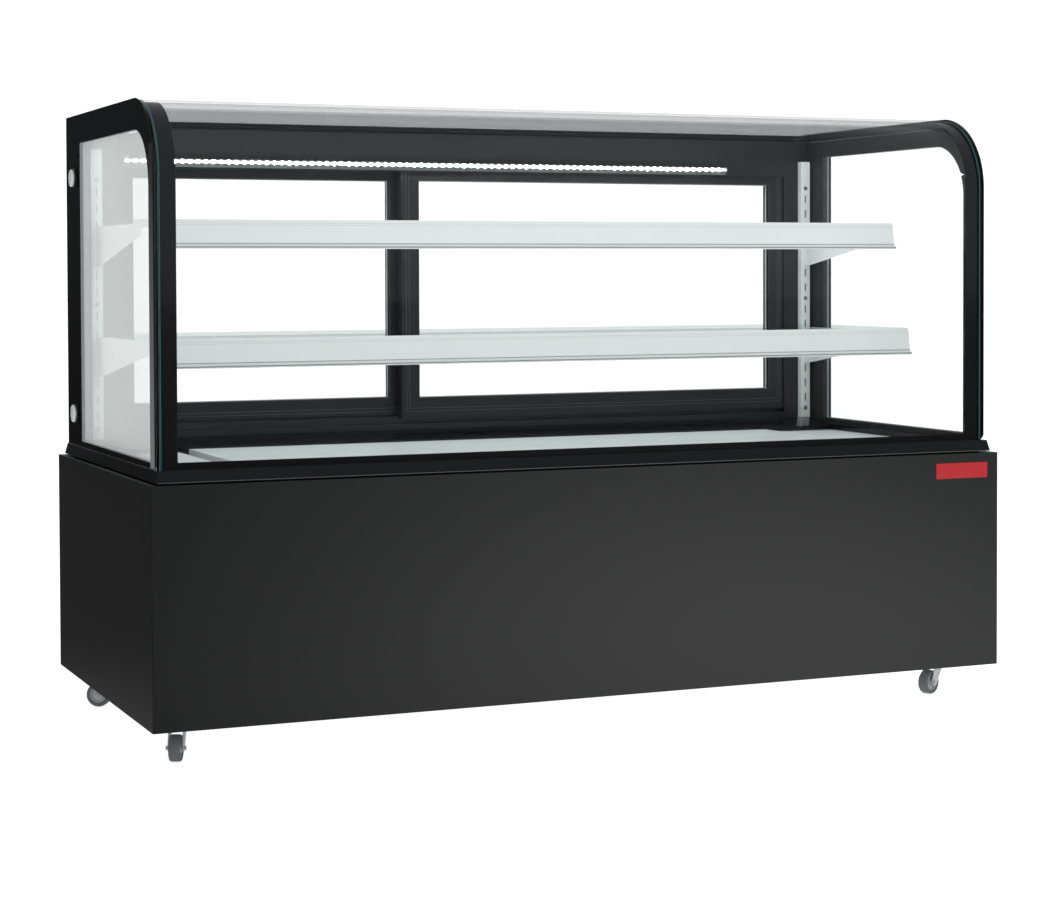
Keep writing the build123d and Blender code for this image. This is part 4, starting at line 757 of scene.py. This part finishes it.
# %% Line the windows with spacer bars
bar_wall = 0.8 * MM
bar_play = 0.6 * MM
bar_width = 5 * MM
lining_outline = outline(
    window_front + bar_wall, window_top - bar_wall, window_rear - bar_wall, window_low + bar_wall,
    window_radius - bar_wall, edge,
)
for side, name in ((-1, "left"), (1, "right")):
    shape = bmesh.new()
    reach = inner_high[0] + bar_play if side < 0 else ring_high[0] - bar_width
    ends = sorted((side * (ring_high[0] - bar_play), side * reach))
    border_sheet(shape, ends[0], ends[1], window_outline, lining_outline)
    piece(f"{name}_spacer_bar", mesh_from("bar", shape), spacer_metal)

# %% [markdown]
# The side caps cover the bolts that hold the end panes to the rear posts. Each is a
# turned black boss with a polished domed face, so a lathe profile is all it takes.

# %% Turn the side caps
cap_low, cap_high = box("side_caps")
cap_radius = 20 * MM
cap_y = (cap_low[1] + cap_high[1]) / 2
cap_stand = cap_high[0] - pane_high[0]
boss = bmesh.new()
dome = bmesh.new()
boss_profile = (
    (0, 0), (cap_radius, 0), (cap_radius, cap_stand * 0.42), (cap_radius * 0.94, cap_stand * 0.52),
    (cap_radius * 0.80, cap_stand * 0.55), (0, cap_stand * 0.55),
)
dome_profile = (
    (0, cap_stand * 0.52), (cap_radius * 0.90, cap_stand * 0.52), (cap_radius * 0.90, cap_stand * 0.86),
    (cap_radius * 0.84, cap_stand * 0.96), (cap_radius * 0.50, cap_stand * 0.99), (0, cap_stand),
)
for side in (-1, 1):
    for cap_z in (cap_low[2] + cap_radius, cap_high[2] - cap_radius):
        outward = Matrix.Rotation(side * pi / 2, 4, "Y")
        place = Matrix.Translation((side * pane_high[0], cap_y, cap_z)) @ outward
        add_turned(boss, boss_profile, place)
        add_turned(dome, dome_profile, place)
bosses = piece("side_cap_bosses", mesh_from("boss", boss, True), black_plastic)
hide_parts("side_caps")
piece("side_cap_faces", mesh_from("dome", dome, True), polished)

# %% [markdown]
# A caster wheel is a soft grey tyre pressed on a hard hub. The joint of the record
# gives the wheel's centre and axis, and the tyre's round shoulders come from a
# lathe profile. The hub has a dished face and a raised boss round the axle.

# %% Turn the wheels
joints = {joint["name"]: joint for joint in frame["record"]["behaviour"]["joints"]}
wheel_radius = 25 * MM
wheel_half = 11 * MM
rim = 16.5 * MM
bore = 5.2 * MM
tyre_half = (
    (rim, 0.0), (rim, 0.78), (rim + 1.2 * MM, 0.90), (wheel_radius - 2.6 * MM, 1.0),
    (wheel_radius - 0.8 * MM, 0.84), (wheel_radius, 0.58), (wheel_radius, 0.0),
)
hub_half = (
    (bore, 0.0), (bore, 0.96), (bore + 2.6 * MM, 0.96), (bore + 3.4 * MM, 0.52),
    (rim - 2.0 * MM, 0.50), (rim - 1.4 * MM, 0.80), (rim + 0.2 * MM, 0.80), (rim + 0.2 * MM, 0.0),
)


def both_faces(half):
    """Mirror a half profile of (radius, share of half width) pairs to a closed ring."""
    there = [(radius, share * wheel_half) for radius, share in half if share > 0]
    back = [(radius, -height) for radius, height in reversed(there)]
    return there + back + there[:1]


for place in ("front_left", "front_right", "rear_left", "rear_right"):
    joint = joints[f"{place}_roll"]
    along_axle = Vector(joint["axis"]).to_track_quat("Z", "Y").to_matrix().to_4x4()
    turn = Matrix.Translation(joint["pos_m"]) @ along_axle
    tyre = bmesh.new()
    add_turned(tyre, both_faces(tyre_half), turn, 48)
    tyre_mesh = mesh_from("tyre", tyre, True)
    tyre_piece = piece(f"{place}_tyre", tyre_mesh, grey_tread, f"{place}_wheel")
    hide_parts(f"{place}_wheel")
    hub = bmesh.new()
    add_turned(hub, both_faces(hub_half), turn, 32)
    piece(f"{place}_hub", mesh_from("hub", hub), grey_plastic, f"{place}_wheel")

# %% [markdown]
# Each upright is held by three round-headed screws. The head is a low plain dome,
# modelled once and set in rows by the tree.

# %% Model a screw head
screw_head = 3.6 * MM
upright_screw_head = 5.0 * MM
upright_screw_foot = 576 * MM
upright_screw_pitch = 258 * MM
upright_screw_count = 3


def screw_item(name, facing, radius=screw_head):
    """A low domed head, facing along the given turn."""
    shape = bmesh.new()
    profile = (
        (0, -0.4 * MM), (radius, -0.4 * MM), (radius, 0.4 * MM), (radius * 0.75, 1.2 * MM),
        (0, 1.5 * MM),
    )
    add_turned(shape, profile, facing, 12)
    return pattern_item(name, shape, True)


front_screw = screw_item("front_screw", facing_front, upright_screw_head)
rear_screw = screw_item("rear_screw", Matrix.Rotation(-pi / 2, 4, "X"))
upright_low, upright_high = box("shelf_uprights")
upright_x = upright_high[0] - 12 * MM
screw_step = (0, 0, upright_screw_pitch)
meshes = []
for side in (-1, 1):
    first = (side * upright_x, upright_low[1], upright_screw_foot)
    meshes.append(row(front_screw, upright_screw_count, first, screw_step, screw_steel))
piece("upright_screws", joined(meshes), screw_steel)

# %% [markdown]
# The rear of the base is service ground: screws hold the two louvred grilles and
# the control strip, in rows that the same tree sets.

# %% Screw the rear panels on
grille_low, grille_high = box("rear_grilles")
strip_low, strip_high = box("control_panel")
inset = 14 * MM
grille_screws = 6
strip_screws = 5
rear_rows = []
grille_face = grille_low[1] + 1.6 * MM
grille_step = (grille_high[0] - grille_low[0] - 2 * inset) / (grille_screws - 1)
for height in (grille_low[2] + inset, grille_high[2] - inset):
    first = (grille_low[0] + inset, grille_face, height)
    rear_rows.append(row(rear_screw, grille_screws, first, (grille_step, 0, 0), screw_steel))
strip_step = (strip_high[0] - strip_low[0] - 2 * inset) / (strip_screws - 1)
first = (strip_low[0] + inset, strip_high[1], (strip_low[2] + strip_high[2]) / 2)
rear_rows.append(row(rear_screw, strip_screws, first, (strip_step, 0, 0), screw_steel))
piece("rear_panel_screws", joined(rear_rows), screw_steel)
print("grille face", grille_low, grille_high, "strip", strip_low, strip_high)

# %% [markdown]
# The sliding doors are double glazed as well. A bright spacer bar runs round the
# sight edge between their panes, and shows as the thin silver line beside each
# stile. Three thin grey beads run round each frame, their grey a painted highlight
# along its edges. Bar and beads ride with the door.


# %% Line the doors with spacer bars
def frame_ring(shape, x_range, z_range, y_range, wall):
    """Add a rectangular ring, standing in the plane of the doors."""
    (x_low, x_high), (z_low, z_high) = x_range, z_range
    loops = []
    for y in y_range:
        outer = [(x_low, z_low), (x_high, z_low), (x_high, z_high), (x_low, z_high)]
        inner = [
            (x_low + wall, z_low + wall), (x_high - wall, z_low + wall),
            (x_high - wall, z_high - wall), (x_low + wall, z_high - wall),
        ]
        loops.append([[shape.verts.new((x, y, z)) for x, z in loop] for loop in (outer, inner)])
    (outer_a, inner_a), (outer_b, inner_b) = loops
    for step in range(4):
        after = (step + 1) % 4
        shape.faces.new((outer_a[step], outer_a[after], inner_a[after], inner_a[step]))
        shape.faces.new((outer_b[step], inner_b[step], inner_b[after], outer_b[after]))
        shape.faces.new((outer_a[step], outer_b[step], outer_b[after], outer_a[after]))
        shape.faces.new((inner_a[step], inner_a[after], inner_b[after], inner_b[step]))


stile = 42 * MM
rail_low = 47 * MM
rail_high = 42 * MM
bar_half = 2.5 * MM
bar_thick = 1.4 * MM
bead_steps = (1.5 * MM, 24 * MM, 31 * MM)
bead_width = 0.9 * MM
for name in ("left", "right"):
    door_low, door_high = box(f"{name}_door_frame")
    glass_box_low, glass_box_high = box(f"{name}_door_glass")
    sight_x = (door_low[0] + stile, door_high[0] - stile)
    sight_z = (door_low[2] + rail_low, door_high[2] - rail_high)
    middle = (glass_box_low[1] + glass_box_high[1]) / 2
    shape = bmesh.new()
    frame_ring(shape, sight_x, sight_z, (middle - bar_half, middle + bar_half), bar_thick)
    bar_mesh = mesh_from("bar", shape)
    piece(f"{name}_door_spacer_bar", bar_mesh, bar_silver, f"{name}_door")
    # Three raised beads whose grey paints the highlights along the frame's edges.
    bead = bmesh.new()
    bead_y = (door_low[1] - 0.5 * MM, door_low[1] + 0.2 * MM)
    for step_out in bead_steps:
        bead_x = (sight_x[0] - step_out, sight_x[1] + step_out)
        bead_z = (sight_z[0] - step_out, sight_z[1] + step_out)
        frame_ring(bead, bead_x, bead_z, bead_y, bead_width)
    piece(f"{name}_door_bead", mesh_from("bead", bead), highlight_grey, f"{name}_door")
    print(name, "door sight", sight_x, sight_z, "glass", glass_box_low, glass_box_high)

# %% [markdown]
# The surround is rolled at its foot, and its thin bright edge along the front is a
# painted highlight: one thin grey strip laid on the front face.

# %% Paint the highlight on the edge of the surround
highlight_line = bmesh.new()
sill_front = sill_low[1]
add_block(
    highlight_line, (sill_low[0] + 4 * MM, sill_front - 0.3 * MM, sill_low[2] + 3.2 * MM),
    (sill_high[0] - 4 * MM, sill_front + 0.6 * MM, sill_low[2] + 4.6 * MM),
)
piece("surround_front_edge", mesh_from("edge", highlight_line), highlight_grey)
print("surround", sill_low, sill_high)

# %% [markdown]
# The front carries one small red plate at its upper right. It is bare enamel here.

# %% Fix the plate
plate_left = 0.749
plate_right = 0.874
plate_foot = 0.467
plate_top = 0.499
plate_stand = 0.8 * MM
plate = bmesh.new()
add_block(
    plate, (plate_left, front_low[1] - plate_stand, plate_foot),
    (plate_right, front_low[1], plate_top),
)
bmesh.ops.bevel(plate, geom=plate.edges[:], offset=0.25 * MM, segments=1, affect="EDGES")
piece("front_plate", mesh_from("plate", plate), badge_red)

# %% [markdown]
# The controller at the rear shows a temperature in glowing bars, seven places to a
# digit. Each bar is a small block, and a table says which bars light for a digit.
# Known fault: the digits stand over the first two buttons. The recess of the display
# lies 15 mm to the other side of the controller's middle, and stays empty.

# %% Light the display
control_low, control_high = box("controller_housing")
digit_high = 11 * MM
digit_wide = 6.5 * MM
bar = 1.1 * MM
half_digit = digit_high / 2
digits_offset = 16 * MM
digit_pitch = 10 * MM
bar_places = {
    "top": ((0, digit_high - bar), (digit_wide, digit_high)),
    "middle": ((0, half_digit - bar / 2), (digit_wide, half_digit + bar / 2)),
    "foot": ((0, 0), (digit_wide, bar)),
    "left_up": ((0, half_digit), (bar, digit_high)),
    "right_up": ((digit_wide - bar, half_digit), (digit_wide, digit_high)),
    "left_down": ((0, 0), (bar, half_digit)),
    "right_down": ((digit_wide - bar, 0), (digit_wide, half_digit)),
}
lit_bars = (
    ("top", "middle", "foot", "right_up", "right_down"),
    ("top", "middle", "foot", "left_up", "left_down", "right_up", "right_down"),
)
display = bmesh.new()
display_x = (control_low[0] + control_high[0]) / 2 + digits_offset
display_z = (control_low[2] + control_high[2]) / 2 - half_digit
for place, names in enumerate(lit_bars):
    start = display_x - place * digit_pitch
    for name in names:
        (u_low, v_low), (u_high, v_high) = bar_places[name]
        add_block(
            display, (start - u_high, control_high[1] - 0.2 * MM, display_z + v_low),
            (start - u_low, control_high[1] + 0.3 * MM, display_z + v_high),
        )
piece("controller_digits", mesh_from("digits", display), digit_red)
print("controller", control_low, control_high)

# %% [markdown]
# The case stands in a white studio. The world is white to the camera and darker to
# reflections, because a glossy black panel shows whatever stands round it. The
# floor is white too, and keeps the soft shadow of the case.


# %% Set up the world
def world_background():
    """Bright to the camera, half as bright as a light and dim to mirrors."""
    world = bpy.data.worlds.new("studio")
    bpy.context.scene.world = world
    world.use_nodes = True
    tree = world.node_tree
    shown = tree.nodes["Background"]
    shown.inputs["Color"].default_value = (1, 1, 1, 1)
    shown.inputs["Strength"].default_value = 1.25
    lit = add_node(tree, "ShaderNodeBackground", {"Color": (1, 1, 1, 1), "Strength": 0.55})
    pale_blue = (0.9, 0.95, 1, 1)
    mirrored = add_node(tree, "ShaderNodeBackground", {"Color": pale_blue, "Strength": 0.35})
    path = add_node(tree, "ShaderNodeLightPath")
    by_mirror = add_node(tree, "ShaderNodeMixShader")
    by_camera = add_node(tree, "ShaderNodeMixShader")
    link = tree.links.new
    link(path.outputs["Is Glossy Ray"], by_mirror.inputs["Fac"])
    link(lit.outputs["Background"], by_mirror.inputs[1])
    link(mirrored.outputs["Background"], by_mirror.inputs[2])
    link(path.outputs["Is Camera Ray"], by_camera.inputs["Fac"])
    link(by_mirror.outputs["Shader"], by_camera.inputs[1])
    link(shown.outputs["Background"], by_camera.inputs[2])
    link(by_camera.outputs["Shader"], tree.nodes["World Output"].inputs["Surface"])


world_background()


# %% [markdown]
# The floor's mirror colour has one broad bright patch in front of the case. The
# satin panel shows it as the wide soft sheen across its middle.


# %% Lay the floor
def floor_material():
    """White to the camera, with its shadow kept, and a soft patch for mirrors."""
    material = bpy.data.materials.new("studio_floor")
    material.use_nodes = True
    tree = material.node_tree
    tree.nodes.remove(tree.nodes["Principled BSDF"])
    output = tree.nodes["Material Output"]
    paper = add_node(tree, "ShaderNodeBsdfDiffuse", {"Color": (0.86, 0.86, 0.86, 1)})
    glow = add_node(tree, "ShaderNodeEmission", {"Strength": 0.74})
    shown = add_node(tree, "ShaderNodeAddShader")
    place = add_node(tree, "ShaderNodeTexCoord")
    patch_place = {
        "Location": (1.3, -2.3, 0), "Rotation": (0, 0, radians(-61.5)), "Scale": (4.4, 2.0, 1),
    }
    sheen = add_node(tree, "ShaderNodeMapping", patch_place, vector_type="TEXTURE")
    shape = add_node(tree, "ShaderNodeTexGradient", gradient_type="SPHERICAL")
    level = add_node(
        tree, "ShaderNodeMapRange", {"To Min": 0.06, "To Max": 1.9}, interpolation_type="SMOOTHSTEP"
    )
    patch = add_node(tree, "ShaderNodeEmission")
    path = add_node(tree, "ShaderNodeLightPath")
    mix = add_node(tree, "ShaderNodeMixShader")
    link = tree.links.new
    link(place.outputs["Object"], sheen.inputs["Vector"])
    link(sheen.outputs["Vector"], shape.inputs["Vector"])
    link(shape.outputs["Fac"], level.inputs["Value"])
    link(level.outputs["Result"], patch.inputs["Strength"])
    link(paper.outputs["BSDF"], shown.inputs[0])
    link(glow.outputs["Emission"], shown.inputs[1])
    link(path.outputs["Is Glossy Ray"], mix.inputs["Fac"])
    link(shown.outputs["Shader"], mix.inputs[1])
    link(patch.outputs["Emission"], mix.inputs[2])
    link(mix.outputs["Shader"], output.inputs["Surface"])
    return material


floor_half = 60.0
shape = bmesh.new()
bmesh.ops.create_grid(shape, x_segments=1, y_segments=1, size=floor_half)
floor_mesh = bpy.data.meshes.new("floor")
shape.to_mesh(floor_mesh)
shape.free()
floor = bpy.data.objects.new("studio_floor", floor_mesh)
floor_mesh.materials.append(floor_material())
bpy.context.scene.collection.objects.link(floor)


# %% [markdown]
# Two soft boxes do the lighting: a large one above the front and a low fill at the
# right. The camera, the view through glass and mirrors don't see them.


# %% Hang the soft boxes
def soft_box(name, place, aim, size, watts):
    """A rectangular area lamp that points at a place and only gives light."""
    lamp = bpy.data.lights.new(name, "AREA")
    lamp.shape = "RECTANGLE"
    lamp.size, lamp.size_y = size
    lamp.energy = watts
    thing = bpy.data.objects.new(name, lamp)
    thing.location = place
    thing.rotation_euler = (Vector(aim) - Vector(place)).to_track_quat("-Z", "Y").to_euler()
    thing.visible_camera = False
    thing.visible_transmission = False
    thing.visible_glossy = False
    bpy.context.scene.collection.objects.link(thing)
    return thing


soft_box("top_box", (0.4, -1.6, 4.2), (0, 0, 0.6), (3.4, 2.2), 90)
soft_box("right_box", (4.6, -2.2, 1.6), (0.5, 0, 0.6), (1.6, 2.2), 40)

# %% [markdown]
# A black flag at the left keeps the black side of the case black, as in a real
# studio. Only reflections see it, and it throws no shadow.

# %% Stand a black flag at the left
flag_low = (-3.3, -1.0, 0.0)
flag_high = (-3.28, 16.0, 3.4)
flag_shape = bmesh.new()
add_block(flag_shape, flag_low, flag_high)
flag_mesh = mesh_from("flag", flag_shape)
flag_mesh.materials.append(grained("flag_cloth", (0.02, 0.02, 0.02), 0.9, gloss=0.0))
flag = bpy.data.objects.new("black_flag", flag_mesh)
bpy.context.scene.collection.objects.link(flag)
flag.visible_camera = False
flag.visible_diffuse = False
flag.visible_transmission = False
flag.visible_shadow = False

# %% [markdown]
# The camera was solved from the photograph's edges. The picture was taken level and
# cropped, which a small vertical shift of the lens repeats. A view through the case
# passes many glass faces, so rays may cross up to 32 transparent ones.

# %% Place the camera
photo_width = 1040
focal_pixels = 2285.5
sensor = 36.0
lens_shift = -0.1136
camera_place = (-1.88523, -4.39942, 0.89990)
camera_yaw = radians(-23.0415)
camera_tilt = radians(90 - 1.5221)
camera_roll = radians(-0.2)
camera_data = bpy.data.cameras.new("camera")
camera_data.sensor_fit = "HORIZONTAL"
camera_data.sensor_width = sensor
camera_data.lens = focal_pixels / photo_width * sensor
camera_data.shift_y = lens_shift
camera_data.clip_end = 200
camera = bpy.data.objects.new("camera", camera_data)
camera_turn = (
    Matrix.Rotation(camera_yaw, 4, "Z")
    @ Matrix.Rotation(camera_tilt, 4, "X")
    @ Matrix.Rotation(camera_roll, 4, "Z")
)
camera.matrix_world = Matrix.Translation(camera_place) @ camera_turn
bpy.context.scene.collection.objects.link(camera)
bpy.context.scene.camera = camera
bpy.context.scene.view_settings.view_transform = "Standard"
bpy.context.scene.cycles.transparent_max_bounces = 32
print("lens", round(camera_data.lens, 2), "mm")
